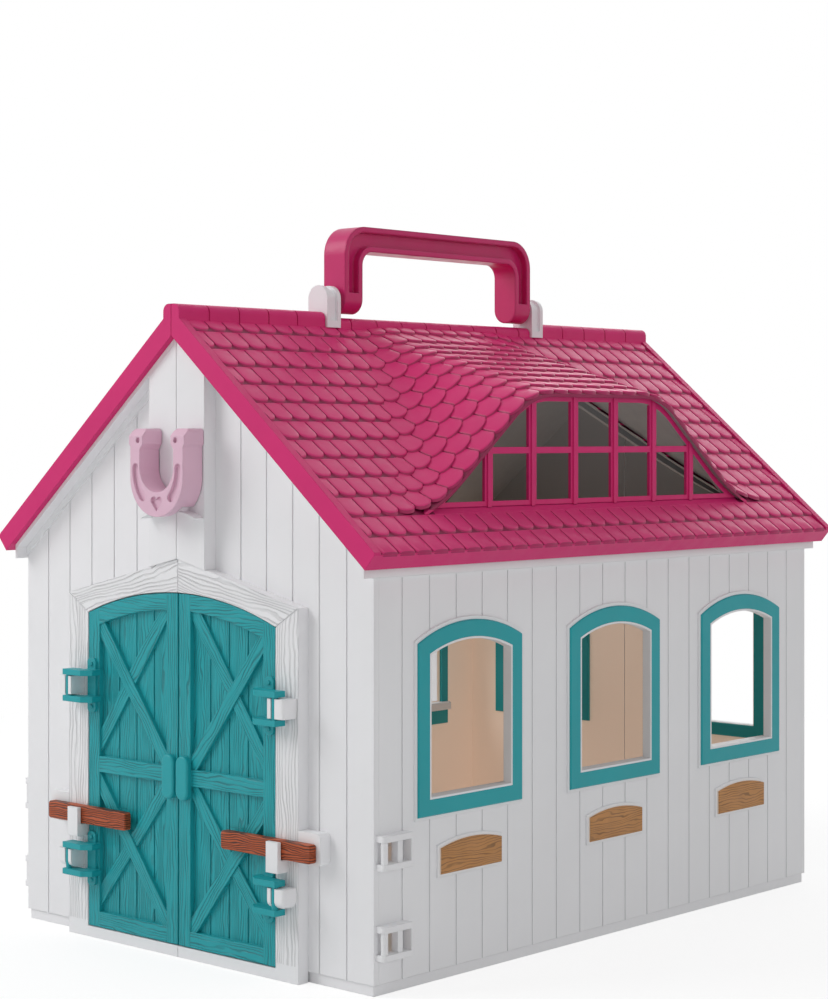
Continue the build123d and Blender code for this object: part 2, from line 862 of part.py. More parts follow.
bracket_near = middle_y - bracket_y[1]
bracket_far = middle_y + bracket_y[1]
bracket_spans = ((bracket_near, middle_y - bracket_y[0]), (middle_y + bracket_y[0], bracket_far))
ridge_stretches = (
    (roof_front, bracket_near, ridge_top),
    (bracket_near, bracket_far, ridge_low_top),
    (bracket_far, roof_rear, ridge_top),
)
with BuildPart() as roof_shell:
    with BuildSketch(front_plane(roof_rear)):
        Polygon(
            *course_profile(),
            (fascia_foot_x, roof_z(fascia_foot_x, verge_depth)),
            (seam, roof_z(seam, verge_depth)),
            align=None,
        )
    extrude(amount=roof_rear - roof_front)
    rim_foot_depth = course_drop + course_step + 0.4
    for verge_y in (roof_front, roof_rear - verge_rim_width):
        with BuildSketch(front_plane(verge_y + verge_rim_width)):
            Polygon(
                (seam, roof_z(seam)),
                (eave_x, eave_z),
                (eave_x, roof_z(eave_x, course_drop)),
                (eave_x - fascia_thickness, roof_z(eave_x - fascia_thickness, rim_foot_depth)),
                (seam, roof_z(seam, rim_foot_depth)),
                align=None,
            )
        extrude(amount=verge_rim_width)
    fascia_inner_x = fascia_foot_x - fascia_thickness
    skin_depth = roof_skin + course_drop
    skin_end_x = eave_x - 2 * fascia_thickness
    with BuildSketch(front_plane(liner_rear)):
        Polygon(
            (0, roof_z(0, skin_depth)),
            (skin_end_x, roof_z(skin_end_x, skin_depth)),
            (fascia_inner_x, roof_z(fascia_inner_x, liner_top_depth)),
            (fascia_inner_x, liner_lip_z),
            (0, liner_lip_z),
            align=None,
        )
    extrude(amount=liner_rear - liner_front, mode=Mode.SUBTRACT)
    rib_foot_x = fascia_inner_x - rib_clearance
    for n in (-2, -1, 1, 2):
        rib_y = middle_y + n * rib_pitch
        with BuildSketch(front_plane(rib_y + rib_thickness / 2)):
            Polygon(
                (seam, roof_z(seam, rib_top_depth)),
                (skin_end_x, roof_z(skin_end_x, rib_top_depth)),
                (rib_foot_x, roof_z(rib_foot_x, liner_top_depth)),
                (seam, roof_z(seam, liner_top_depth)),
                align=None,
            )
        extrude(amount=rib_thickness)
    add(attic_opening, mode=Mode.SUBTRACT)
    for near, far in bracket_spans:
        with BuildSketch(front_plane(far + bracket_seat_margin)):
            Polygon(
                (seam, roof_z(seam, bracket_seat_depth)),
                (bracket_seat_half_width, roof_z(bracket_seat_half_width, bracket_seat_depth)),
                (bracket_seat_half_width, roof_z(bracket_seat_half_width, liner_top_depth)),
                (seam, roof_z(seam, liner_top_depth)),
                align=None,
            )
        extrude(amount=far - near + 2 * bracket_seat_margin)
    for near, far, top in ridge_stretches:
        with BuildSketch(front_plane(far)):
            add(ridge_profile(ridge_half_width, top, ridge_tile_relief))
        extrude(amount=far - near)
        tile_count = round((far - near) / ridge_tile_pitch)
        tile_length = (far - near) / tile_count
        for n in range(tile_count):
            tile_far = near + (n + 1) * tile_length - (0 if n == tile_count - 1 else ridge_tile_gap)
            with BuildSketch(front_plane(tile_far)):
                add(ridge_profile(ridge_half_width, top, 0))
            extrude(amount=tile_far - near - n * tile_length)


def notch_for_brackets(shell, floor_z):
    """Roof shell with room cut in its ridge for the two handle brackets."""
    with BuildPart() as notched:
        add(shell)
        for near, far in bracket_spans:
            block(
                (-bracket_half_width - bracket_clearance, bracket_half_width + bracket_clearance),
                (near - bracket_clearance, far + bracket_clearance),
                (floor_z, ridge_top + 1),
                mode=Mode.SUBTRACT,
            )
    return notched


with BuildPart() as left_shell:
    mirror(roof_shell.part, about=Plane.YZ)
    for near, far in bracket_spans:
        peg_foot = (peg_x, (near + far) / 2, bracket_foot - peg_length)
        rod(peg_foot, peg_radius + peg_clearance, peg_length, mode=Mode.SUBTRACT)
save(notch_for_brackets(roof_shell.part, bracket_foot - bracket_clearance), "roof_shell_right")
save(notch_for_brackets(left_shell.part, bracket_foot), "roof_shell_left")


# Dormer: a low arched hood on the slope, and the wide face of panes that stands in it
dormer_block = dormer_prism(0, dormer_lip_x, dormer_length)
dormer_hollow = dormer_prism(dormer_skin, dormer_lip_x, dormer_length)
with BuildPart() as below_roof:
    with BuildSketch(front_plane(roof_rear)):
        Polygon(
            (0, roof_z(0, course_drop)),
            (eave_x, roof_z(eave_x, course_drop)),
            (eave_x, 0),
            (0, 0),
            align=None,
        )
    extrude(amount=roof_rear - roof_front)
with BuildPart() as dormer:
    add(dormer_block)
    add(dormer_hollow, mode=Mode.SUBTRACT)
    add(below_roof.part, mode=Mode.SUBTRACT)
save_pair(dormer, "dormer")


def pane_openings():
    """Openings of the dormer's face, between the mullions and the crossbar."""
    with BuildSketch() as panes:
        add(dormer_outline(dormer_border, 0))
        with Locations((middle_y, dormer_sill_z)):
            Rectangle(220, 60, align=(Align.CENTER, Align.MAX), mode=Mode.SUBTRACT)
        with Locations((middle_y, sum(crossbar_z) / 2)):
            Rectangle(220, crossbar_z[1] - crossbar_z[0], mode=Mode.SUBTRACT)
        with Locations((middle_y, dormer_sill_z)):
            with GridLocations(mullion_pitch, 0, mullion_count, 1):
                Rectangle(mullion_width, 90, mode=Mode.SUBTRACT)
    return panes.sketch


def mullion_ribs():
    """Narrow strips up the middle of the mullions, from the roof to the hood."""
    rib_rise = (dormer_lip_x - dormer_face_x - mullion_rib[1]) * tan(radians(dormer_pitch))
    with BuildSketch() as ribs:
        add(dormer_outline(dormer_skin, rib_rise))
        with BuildSketch(mode=Mode.INTERSECT):
            with Locations((middle_y, dormer_sill_z)):
                with GridLocations(mullion_pitch, 0, mullion_count, 1):
                    Rectangle(mullion_rib[0], 90)
    return ribs.sketch


panel_length = dormer_wall / cos(radians(dormer_pitch))
panel_block = dormer_prism(dormer_skin, dormer_face_x, panel_length)
with BuildPart() as dormer_panes:
    add(panel_block)
    with BuildSketch(side_plane(dormer_face_x - dormer_wall)):
        add(pane_openings())
    extrude(amount=dormer_wall, mode=Mode.SUBTRACT)
    with BuildSketch(side_plane(dormer_face_x)):
        add(mullion_ribs())
    extrude(amount=mullion_rib[1])
    add(below_roof.part, mode=Mode.SUBTRACT)
save_pair(dormer_panes, "dormer_panes")


# Doors: recessed planks in a frame of stiles and rails, braces, pull and hinge loops
leaf_inner = leaf_clearance
leaf_outer = doorway_half_width - leaf_clearance
leaf_radius = doorway_radius - leaf_clearance
panel_x = (leaf_inner + stile_width, leaf_outer - stile_width)
panel_radius = leaf_radius - stile_width


def leaf_outline(x_range, foot, radius):
    """Upright outline between two x values, closed by the arch above."""
    near, far = x_range
    middle = (near + far) / 2
    with BuildSketch() as leaf:
        with BuildLine():
            Polyline((near, arch_z(near, radius)), (near, foot), (far, foot), (far, arch_z(far, radius)))
            ThreePointArc(
                (far, arch_z(far, radius)), (middle, arch_z(middle, radius)), (near, arch_z(near, radius))
            )
        make_face()
    return leaf.sketch


def brace(start, finish):
    """Straight brace between two points of the door, long enough to run into its frame."""
    run = Vector(*finish) - Vector(*start)
    centre = Vector(*start) + run / 2
    with BuildSketch() as bar:
        with Locations((centre.X, centre.Y)):
            Rectangle(run.length + brace_overrun, brace_width, rotation=degrees(atan2(run.Y, run.X)))
    return bar.sketch


upper_panel = leaf_outline(panel_x, mid_rail_z[1], panel_radius)
with BuildSketch() as lower_panel:
    with Locations((panel_x[0], bottom_rail_top)):
        Rectangle(
            panel_x[1] - panel_x[0],
            mid_rail_z[0] - bottom_rail_top,
            align=(Align.MIN, Align.MIN),
        )
brace_foot_y = leaf_face + leaf_recess + door_groove_depth
with BuildPart() as door:
    with BuildSketch(front_plane(leaf_back)):
        add(leaf_outline((leaf_inner, leaf_outer), leaf_foot, leaf_radius))
    extrude(amount=leaf_back - leaf_face)
    with BuildSketch(front_plane(leaf_face + leaf_recess)):
        add(upper_panel)
        add(lower_panel.sketch)
    extrude(amount=leaf_recess, mode=Mode.SUBTRACT)
    groove_x = first_door_groove
    while groove_x < panel_x[1]:
        for foot, top in (
            (bottom_rail_top, mid_rail_z[0]),
            (mid_rail_z[1], arch_z(groove_x, panel_radius)),
        ):
            block(
                (groove_x - groove_width / 2, groove_x + groove_width / 2),
                (leaf_face + leaf_recess, brace_foot_y),
                (foot, top),
                mode=Mode.SUBTRACT,
            )
        groove_x += door_plank_pitch
    for panel, braces in ((upper_panel, upper_braces), (lower_panel.sketch, lower_braces)):
        for ends, drop in zip(braces, brace_drops):
            with BuildSketch(front_plane(brace_foot_y)):
                add(brace(*ends))
                add(panel, mode=Mode.INTERSECT)
            extrude(amount=brace_foot_y - leaf_face - drop)
    with BuildSketch(front_plane(leaf_face)):
        with Locations((pull_x, pull_z)):
            SlotOverall(pull_size[1], pull_size[0], rotation=90)
    extrude(amount=pull_proud)
    fillet(door.faces().sort_by(Axis.Y)[0].edges(), radius=pull_round)
    for foot in loop_feet:
        strap_middle = foot + loop_height / 2
        with BuildSketch(front_plane(leaf_face)):
            with Locations((sum(strap_x) / 2, strap_middle)):
                RectangleRounded(strap_x[1] - strap_x[0], strap_height, strap_corner)
        extrude(amount=strap_proud)
        with BuildSketch(front_plane(leaf_face - strap_proud)):
            with Locations((sum(strap_x) / 2, strap_middle)):
                with GridLocations(0, rivet_pitch, 1, 2):
                    Circle(rivet_radius)
        extrude(amount=rivet_proud)
        arm_inner_x = strap_x[0] - arm_overhang
        for arm_foot in (foot, foot + loop_height - arm_thickness):
            with BuildSketch(Plane.XY.offset(arm_foot)):
                Polygon(
                    (arm_inner_x, leaf_face),
                    (arm_inner_x, loop_front + arm_bevel[1]),
                    (arm_inner_x + arm_bevel[0], loop_front),
                    (loop_outer_x, loop_front),
                    (loop_outer_x, loop_back),
                    (strap_x[1], loop_back),
                    (strap_x[1], leaf_face),
                    align=None,
                )
            extrude(amount=arm_thickness)
        rod((rod_x, rod_y, foot), rod_radius, loop_height)
    block(
        (bar_x[0] - bar_notch_clearance, leaf_outer),
        (leaf_face, leaf_back),
        (bar_z[0] - bar_notch_clearance, bar_z[1] + bar_notch_clearance),
        mode=Mode.SUBTRACT,
    )
save_pair(door, "door")


# Drop bar with the stub it turns on, and the screw that keeps the stub in its block
bar_pivot = (bar_pivot_x, bar_pivot_z)
with BuildPart() as drop_bar:
    block(bar_x, bar_y, bar_z)
    fillet(drop_bar.edges().filter_by(Axis.Y), radius=bar_round)
    chamfer(drop_bar.faces().sort_by(Axis.Y)[0].edges(), length=bar_bevel)
    with BuildSketch(front_plane(inner_front)):
        with Locations(bar_pivot):
            Circle(bar_stub_radius)
    extrude(amount=inner_front - bar_y[1])
    with BuildSketch(front_plane(inner_front)):
        with Locations(bar_pivot):
            Circle(bar_screw_bore[0])
    extrude(amount=bar_screw_bore[1], mode=Mode.SUBTRACT)
save_pair(drop_bar, "drop_bar")

with BuildPart() as bar_screw:
    with BuildSketch(front_plane(inner_front + bar_screw_gap + bar_screw_head[1])):
        with Locations(bar_pivot):
            Circle(bar_screw_head[0])
    extrude(amount=bar_screw_head[1])
    with BuildSketch(front_plane(inner_front + bar_screw_gap)):
        with Locations(bar_pivot):
            Circle(bar_screw_shank[0])
    extrude(amount=bar_screw_shank[1])
save_pair(bar_screw, "bar_screw")


# Horseshoe latch with its stem, the plate behind the pilaster and their screws
def shoe_outline():
    """Filled horseshoe between its outer and inner curves."""
    outer = [
        (shoe_half_width, shoe_bend_z),
        (shoe_half_width, heel_foot - heel_corner),
        (heel_half_width, heel_foot),
        (heel_half_width, shoe_top - heel_corner),
        (heel_half_width - heel_corner, shoe_top),
        (heel_inner_half_width + heel_corner, shoe_top),
        (heel_inner_half_width, shoe_top - heel_corner),
        (heel_inner_half_width, heel_foot),
        (shoe_inner_half_width, heel_foot - 2 * heel_corner),
        (shoe_inner_half_width, shoe_inner_bend_z),
    ]
    mirrored = [(-x, z) for x, z in reversed(outer)]
    inner_bottom = (0, shoe_inner_bend_z - shoe_inner_half_width)
    with BuildSketch() as shoe:
        with BuildLine():
            Polyline(*outer)
            ThreePointArc(outer[-1], inner_bottom, mirrored[0])
            Polyline(*mirrored)
            ThreePointArc(mirrored[-1], (0, shoe_bottom), outer[0])
        make_face()
    return shoe.sketch


def shoe_relief():
    """Nail holes, curved nail slots and heart, sunk in the horseshoe's face."""
    heart_points = [(heart_side[0], heart_side[1]), heart_lobe, (0, heart_cleft_z)]
    mirrored = [(-x, z) for x, z in reversed(heart_points)]
    with BuildSketch() as relief:
        for side in (-1, 1):
            with Locations((side * nail_hole[0], nail_hole[1])):
                Circle(nail_hole_radius)
            slot_points = [(side * x, z) for x, z in nail_slot_points]
            with BuildLine():
                ThreePointArc(*slot_points)
            trace(line_width=nail_slot_width)
            with Locations(slot_points[0], slot_points[-1]):
                Circle(nail_slot_width / 2)
        with BuildLine():
            Line((0, heart_tip_z), heart_side)
            ThreePointArc(*heart_points)
            ThreePointArc(*mirrored)
            Line(mirrored[-1], (0, heart_tip_z))
        make_face()
    return relief.sketch


plate_back = pilaster_face + pilaster_wall + slide_plate_gap
slide_back = plate_back + slide_plate_thickness
stem_centre = (sum(stem_x) / 2, sum(stem_z) / 2)
shoe_x = (-heel_half_width, heel_half_width)
with BuildPart() as horseshoe_latch:
    with BuildSketch(front_plane(shoe_back)):
        add(shoe_outline())
    extrude(amount=shoe_back - shoe_front)
    block(
        shoe_x,
        (shoe_back - shoe_rear_depth, shoe_back),
        (shoe_bottom, shoe_rear_foot),
        mode=Mode.SUBTRACT,
    )
    with BuildSketch(side_plane(shoe_x[0])):
        Polygon(
            (shoe_front, shoe_top - heel_chamfer),
            (shoe_front, shoe_top),
            (shoe_front + heel_chamfer, shoe_top),
            align=None,
        )
    extrude(amount=shoe_x[1] - shoe_x[0], mode=Mode.SUBTRACT)
    with BuildSketch(front_plane(shoe_front + relief_depth)):
        add(shoe_relief())
    extrude(amount=relief_depth, mode=Mode.SUBTRACT)
    block(stem_x, (shoe_back, plate_back), stem_z)
    with BuildSketch(front_plane(plate_back)):
        with Locations(stem_centre):
            Circle(latch_screw_bore[0])
    extrude(amount=latch_screw_bore[1], mode=Mode.SUBTRACT)
save(horseshoe_latch, "horseshoe_latch")

slide_x = (slot_clearance - pilaster_core_x[1], -slot_clearance - pilaster_core_x[0])
with BuildPart() as latch_slide_plate:
    block(slide_x, (plate_back, slide_back), slide_plate_z)
    with BuildSketch(front_plane(slide_back)):
        with Locations(stem_centre):
            Circle(latch_screw_bore[0])
    extrude(amount=slide_plate_thickness, mode=Mode.SUBTRACT)
save(latch_slide_plate, "latch_slide_plate")

with BuildPart() as latch_screw:
    with BuildSketch(front_plane(slide_back + latch_screw_head[1])):
        with Locations(stem_centre):
            Circle(latch_screw_head[0])
    extrude(amount=latch_screw_head[1])
    with BuildSketch(front_plane(slide_back)):
        with Locations(stem_centre):
            Circle(latch_screw_shank[0])
    extrude(amount=latch_screw_shank[1])
save(latch_screw, "latch_screw")


# Carrying handle: a bail with a channel along each side and round feet
def handle_outline(inset, foot_z):
    """Side view of the bail, shrunk by inset and cut off at foot_z."""
    reach = handle_reach - inset
    top = handle_top - inset
    inner_reach = handle_reach - handle_thickness + inset
    inner_top = handle_top - handle_thickness + inset
    height = top - foot_z
    inner_height = inner_top - foot_z
    with BuildSketch() as bail:
        with Locations((0, foot_z)):
            Rectangle(2 * reach, height, align=(Align.CENTER, Align.MIN))
        fillet(bail.vertices().group_by(Axis.Y)[-1], radius=handle_corner - inset)
        with BuildSketch(mode=Mode.SUBTRACT) as gap:
            with Locations((0, foot_z)):
                Rectangle(2 * inner_reach, inner_height, align=(Align.CENTER, Align.MIN))
            fillet(gap.vertices().group_by(Axis.Y)[-1], radius=handle_inner_corner + inset)
    return Pos(middle_y, 0) * bail.sketch


handle_legs = (middle_y - handle_reach, middle_y + handle_reach)
bail_outline = handle_outline(0, handle_pivot_z - handle_half_width)
channel_outline = handle_outline(handle_rim, handle_channel_foot)
with BuildPart() as handle:
    with BuildSketch(side_plane(-handle_half_width)):
        add(bail_outline)
    extrude(amount=2 * handle_half_width)
    with BuildSketch(front_plane(handle_legs[1])):
        with Locations((0, handle_pivot_z)):
            Rectangle(2 * handle_half_width, 40, align=(Align.CENTER, Align.MIN))
            Circle(handle_half_width)
    extrude(amount=handle_legs[1] - handle_legs[0], mode=Mode.INTERSECT)
    for x in (-handle_half_width, handle_half_width - handle_channel_depth):
        with BuildSketch(side_plane(x)):
            add(channel_outline)
        extrude(amount=handle_channel_depth, mode=Mode.SUBTRACT)
    for outer_y, inward in ((handle_legs[0], -1), (handle_legs[1], 1)):
        with BuildSketch(front_plane(outer_y)):
            with Locations((0, handle_pivot_z)):
                Circle(pivot_bore_radius)
        extrude(amount=inward * pivot_depth, mode=Mode.SUBTRACT)
save(handle, "handle")


# Handle brackets: two round-topped plates joined by a narrower web, with a peg below
bracket_round_z = bracket_top - bracket_half_width
for name, end in (("front", -1), ("rear", 1)):
    near_face = middle_y + end * bracket_y[0]
    far_face = middle_y + end * bracket_y[1]
    low_y, high_y = sorted((near_face, far_face))
    with BuildPart() as handle_bracket:
        with BuildSketch(front_plane(high_y)):
            with Locations((0, bracket_round_z)):
                Circle(bracket_half_width)
                Rectangle(
                    2 * bracket_half_width,
                    bracket_round_z - bracket_foot,
                    align=(Align.CENTER, Align.MAX),
                )
        extrude(amount=high_y - low_y)
        with BuildSketch(front_plane(high_y - bracket_rim)):
            with Locations((0, bracket_round_z)):
                Rectangle(4 * bracket_half_width, 4 * bracket_half_width)
                Circle(bracket_half_width - bracket_groove, mode=Mode.SUBTRACT)
                Rectangle(
                    2 * (bracket_half_width - bracket_groove),
                    2 * bracket_half_width,
                    align=(Align.CENTER, Align.MAX),
                    mode=Mode.SUBTRACT,
                )
            with Locations((0, bracket_foot)):
                Rectangle(
                    2 * bracket_half_width,
                    bracket_base_height,
                    align=(Align.CENTER, Align.MIN),
                    mode=Mode.SUBTRACT,
                )
        extrude(amount=high_y - low_y - 2 * bracket_rim, mode=Mode.SUBTRACT)
        with BuildSketch(front_plane(near_face)):
            with Locations((0, handle_pivot_z)):
                Circle(pivot_boss_radius)
        extrude(amount=end * pivot_boss_length)
        with BuildSketch(front_plane(near_face - end * pivot_boss_length)):
            with Locations((0, handle_pivot_z)):
                Circle(pivot_bore_radius)
        extrude(amount=-end * (pivot_boss_length + pivot_seat), mode=Mode.SUBTRACT)
        rod((peg_x, (low_y + high_y) / 2, bracket_foot - peg_length), peg_radius, peg_length)
    save(handle_bracket, f"handle_bracket_{name}")

with BuildPart() as handle_pins:
    for end in (-1, 1):
        seat_y = middle_y + end * (bracket_y[0] + pivot_seat)
        with BuildSketch(front_plane(seat_y)):
            with Locations((0, handle_pivot_z)):
                Circle(pivot_pin_radius)
        pin_length = pivot_seat + bracket_y[0] - handle_reach + pivot_depth - pivot_end_play
        extrude(amount=end * pin_length)
save(handle_pins, "handle_pins")
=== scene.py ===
import math

import bmesh
import bpy
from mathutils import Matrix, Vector


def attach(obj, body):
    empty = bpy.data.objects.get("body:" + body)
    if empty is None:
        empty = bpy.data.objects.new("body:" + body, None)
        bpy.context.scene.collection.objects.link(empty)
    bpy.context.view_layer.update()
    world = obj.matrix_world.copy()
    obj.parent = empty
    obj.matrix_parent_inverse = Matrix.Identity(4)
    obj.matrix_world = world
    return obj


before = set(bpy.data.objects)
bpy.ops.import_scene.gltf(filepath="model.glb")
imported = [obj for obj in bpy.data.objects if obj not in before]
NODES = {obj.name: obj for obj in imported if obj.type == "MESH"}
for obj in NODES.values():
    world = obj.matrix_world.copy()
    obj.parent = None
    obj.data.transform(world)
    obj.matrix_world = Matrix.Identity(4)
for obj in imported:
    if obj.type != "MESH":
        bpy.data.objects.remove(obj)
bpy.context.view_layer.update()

MM = 0.001
SIDES = ("right", "left")

# Middle of the walls along the ridge, and how far their inside reaches, in millimetres
MIDDLE_Y = 2.0
INSIDE_X = 97.55
INSIDE_Y = 140.05
TRAY_TOP_Z = 3.9

# Heights over which the inner faces turn from cream painted bounce light to grey painted shade, and over
# which their painted glow grows brighter, in millimetres, then the strengths of that painted glow
ATTIC_SHADE_Z = (145.0, 172.0)
ATTIC_PAINTED_GLOW_Z = (170.0, 225.0)
INSIDE_PAINTED_GLOW = 0.21
ATTIC_PAINTED_GLOW = 0.22

# How much a face must look forwards, up or sideways to count as such, from 0 to 1
FORWARDS = 0.7
UPWARDS = 0.3
DOWNWARDS = 0.05
# A shingle face that looks up less than SHINGLE_TOP gets painted shade
SHINGLE_TOP = 0.12
PLATE_FACE = 0.6

# Depth of the mould's fine texture, in millimetres
SPARK_DEPTH = 0.015

# Ranges of a noise that make a tone, a roughness, and the stretches where a line of grain shows
TONE_RANGE = (0.35, 0.65)
ROUGH_RANGE = (0.3, 0.7)
GRAIN_RANGE = (0.36, 0.58)

# Timber relief of the door frame, in millimetres and degrees
FRAME_FACE_Y = (-145.9, -145.5)
FRAME_FOOT_Z = 6.5
MITRE_PLACE = (54.5, 131.5)
MITRE_SLOPE = 0.625
HEADER_ANGLE = -12.5

# Timber relief of a door, in millimetres and degrees, with the face of each layer from back to front
STILE_X = (6.95, 47.6)
PLANK_START = 5.9
PLANK_PITCH = 10.5
BRACE_ANGLES = (52.0, -52.5)
DOOR_LAYERS_Y = (-144.0, -144.7, -145.2, -145.6)

# Door behind a drop bar, in millimetres: x at its foot, x at its top, and y of the face from there on
DOOR_BAND_Z = (45.57, 53.63)
DOOR_BAND_STEPS = (
    (27.25, 27.25, -143.4),
    (30.57, 37.03, -145.0),
    (37.73, 44.19, -143.4),
    (47.6, 47.6, -145.4),
    (54.1, 54.1, -141.6),
)

# Shape of the roof that the shingles lie on, in millimetres
ROOF_SLOPE = math.tan(math.radians(40.0))
EAVE = (108.3, 161.31)
ROOF_TOP = EAVE[1] + EAVE[0] * ROOF_SLOPE
LIP_X = 92.7
LIP_SLOPE = math.tan(math.radians(16.2))
LIP_TOP = 221.35
LIP_FLAT = 30.0
SHOULDER_RADIUS = 37.6
FLANK_ANGLE = math.radians(38.4)
FLANK_FOOT = (83.4, 189.35)
VALLEY_CENTRE = (143.8, 265.55)
VALLEY_RADIUS = 97.25

# Rows of shingles, and where they are cut off, in millimetres
SLOPE_ROWS = 11
EAVE_ROWS = 2
SLOPE_Y = (-145.1, 149.1)
RIDGE_CUT_X = 3.2
EAVE_CUT_X = 108.25
PAST_ALL_ROWS_X = 200.0

# One shingle, in millimetres: its overlap, and where and how far its foot and its sides are rounded down
SHINGLE_OVERLAP = 1.7
FOOT_ROUNDING = ((0.0, 0.4), (0.3, 0.1), (0.9, 0.0))
HALF_SECTION = ((-0.5, 0.16), (-0.48, 0.03), (-0.36, 0.0), (-0.18, 0.0))
SHINGLE_SECTION = (*HALF_SECTION, (0.0, 0.0), *((-share, drop) for share, drop in reversed(HALF_SECTION)))
SHARP_ANGLE = math.radians(58)

# Parts of the roof shell and the hoods that show between the shingles or from below, and that get painted
# shade, in millimetres
UNDER_ROWS_DEPTH = 0.8
UNDER_ROWS_X = 107.9
HOOD_HEIGHT = 0.5
RIDGE_CAP_X = 9.0
TILED_Y = 147.6
SILL_X = (91.0, 2.0)
SILL_Y = 101.0
LIP_FACE_X = 92.4
DEEP_GAP_SHADE = (1.4, 1.55)
ROOF_INSIDE_X = 100.0
ROOF_INSIDE_Y = 142.4

# Camera at the photograph's viewing angle: metres, degrees and millimetres of lens
CAMERA_PLACE = (0.65573, -0.72902, 0.20322)
CAMERA_TURN = (90.0, 0.0, 42.335)
CAMERA_LENS = 80.84
CAMERA_SHIFT = -0.06486

# Square soft lamps: place and side in metres, and watts
LAMPS = {
    "key": ((-0.8, -1.0, 0.95), 0.8, 8.8),
    "side": ((1.9, -0.35, 0.9), 1.2, 3.3),
    "top": ((0.2, 0.1, 2.2), 1.2, 4.2),
    "rear": ((-0.5, 1.15, 0.75), 0.8, 3.2),
}
LAMP_TARGET = (0, 0, 0.13)
WORLD_LIGHT = 0.42

# Floor, in metres, and the ring over which it turns from shadowed paint to the white background
FLOOR_RADIUS = 9.0
FLOOR_PAINT = (0.9, 0.9, 0.9, 1.0)
FLOOR_RING = (0.25, 0.7)
FLOOR_GLOW_SHARE = (0.68, 1.0)
FLOOR_GLOW = (1.14, 1.0)

bl_info = {
    "name": "Toy stable finishes",
    "version": (1, 0, 0),
    "blender": (4, 5, 0),
    "location": "View3D > Sidebar > Stable",
    "description": "Dresses a toy horse stable in two halves with shingles, grain and plastic finishes",
    "category": "Object",
}


def linear(red, green, blue):
    """Colour read from a screen, 0 to 255, as Blender's linear colour."""
    values = [value / 255 for value in (red, green, blue)]
    return tuple(v / 12.92 if v <= 0.04045 else ((v + 0.055) / 1.055) ** 2.4 for v in values)


def colour_property(name, description, default):
    """Colour that a user can change in the sidebar."""
    return bpy.props.FloatVectorProperty(
        name=name, description=description, subtype="COLOR", size=3, min=0, max=1, default=default
    )


def length_property(name, description, default):
    """Length in metres that a user can change in the sidebar."""
    return bpy.props.FloatProperty(
        name=name, description=description, default=default, unit="LENGTH", precision=5
    )


class StableColours(bpy.types.PropertyGroup):
    """Colours of the stable's plastics and steel."""

    white: colour_property("Walls", "Outside of the walls and gables", linear(240, 240, 242))
    # Cream of the inner walls is painted warm bounce light on the same white plastic
    inside: colour_property("Inside", "Inner faces of the walls", linear(238, 214, 194))
    # Grey under the roof is painted shade on the same white plastic, and it also colours the painted glow
    # there
    attic_shade: colour_property("Attic", "Inner faces under the roof", linear(128, 126, 126))
    magenta: colour_property("Roof", "Roof, dormers and carrying handle", linear(211, 36, 112))
    # The dark gap colour is painted shade on the same magenta shell between the shingles
    gap: colour_property("Shingle gaps", "Roof between the shingles", linear(88, 2, 38))
    teal: colour_property("Doors and windows", "Doors and window frames", linear(26, 160, 168))
    lilac: colour_property("Horseshoe", "Horseshoe latch", linear(226, 186, 206))
    bar: colour_property("Drop bars", "Drop bars across the doors", linear(184, 86, 46))
    oak: colour_property("Name plates", "Name plates under the windows", linear(186, 130, 72))
    steel: colour_property("Screws", "Screws and hinge pins", linear(176, 178, 182))


class StableRoof(bpy.types.PropertyGroup):
    """Sizes of the shingles and of their rows."""

    row_run: length_property("Row run", "Distance from row to row, seen from above", 8.36 * MM)
    first_foot: length_property("First foot", "Distance from the middle to the top row's foot", 9.1 * MM)
    column_pitch: length_property("Column pitch", "Distance from shingle to shingle in a row", 9.1 * MM)
    gap: length_property("Gap", "Gap between the shingles of a row", 0.55 * MM)
    foot_curve: length_property("Foot curve", "How far a shingle's corners are rounded up", 1.85 * MM)
    step: length_property("Step", "Height of a row's foot over the row below", 1.2 * MM)
    thickness: length_property("Thickness", "Height of a shingle's foot", 1.7 * MM)
    crown: length_property("Crown", "How much a shingle's sides lie below its middle", 0.2 * MM)
    blend: length_property("Blend", "Softness of the valley between roof and dormer", 8.0 * MM)


class StableFinish(bpy.types.PropertyGroup):
    """Sizes of the moulded surface detail, with the colours and the shingles' sizes."""

    edge: length_property("Edge", "Radius that moulded edges are softened by", 0.4 * MM)
    handle_edge: length_property("Handle edge", "Radius that the handle's edges are softened by", 1.3 * MM)
    latch_edge: length_property("Latch edge", "Radius that the latch's edges are softened by", 0.6 * MM)
    grain_depth: length_property("Grain depth", "Depth of the moulded wood grain", 0.35 * MM)
    colours: bpy.props.PointerProperty(type=StableColours, name="Colours", description="Plastics")
    roof: bpy.props.PointerProperty(type=StableRoof, name="Roof", description="Shingled slopes")


def add_node(tree, kind, inputs=None, **settings):
    """New node of a tree, with its settings made and its inputs set or linked."""
    made = tree.nodes.new(kind)
    for name, value in settings.items():
        setattr(made, name, value)
    for key, value in (inputs or {}).items():
        if isinstance(value, bpy.types.NodeSocket):
            tree.links.new(value, made.inputs[key])
        else:
            made.inputs[key].default_value = value
    return made


def maths(tree, operation, *values):
    """Output of a Math node on these values."""
    return add_node(tree, "ShaderNodeMath", dict(enumerate(values)), operation=operation).outputs[0]


def blend_colours(tree, factor, first, second):
    """Output of a colour mix between two colours."""
    colours = [c if isinstance(c, bpy.types.NodeSocket) else (*c, 1.0) for c in (first, second)]
    mixed = add_node(
        tree, "ShaderNodeMix", {0: factor, 6: colours[0], 7: colours[1]}, data_type="RGBA"
    )
    return mixed.outputs[2]


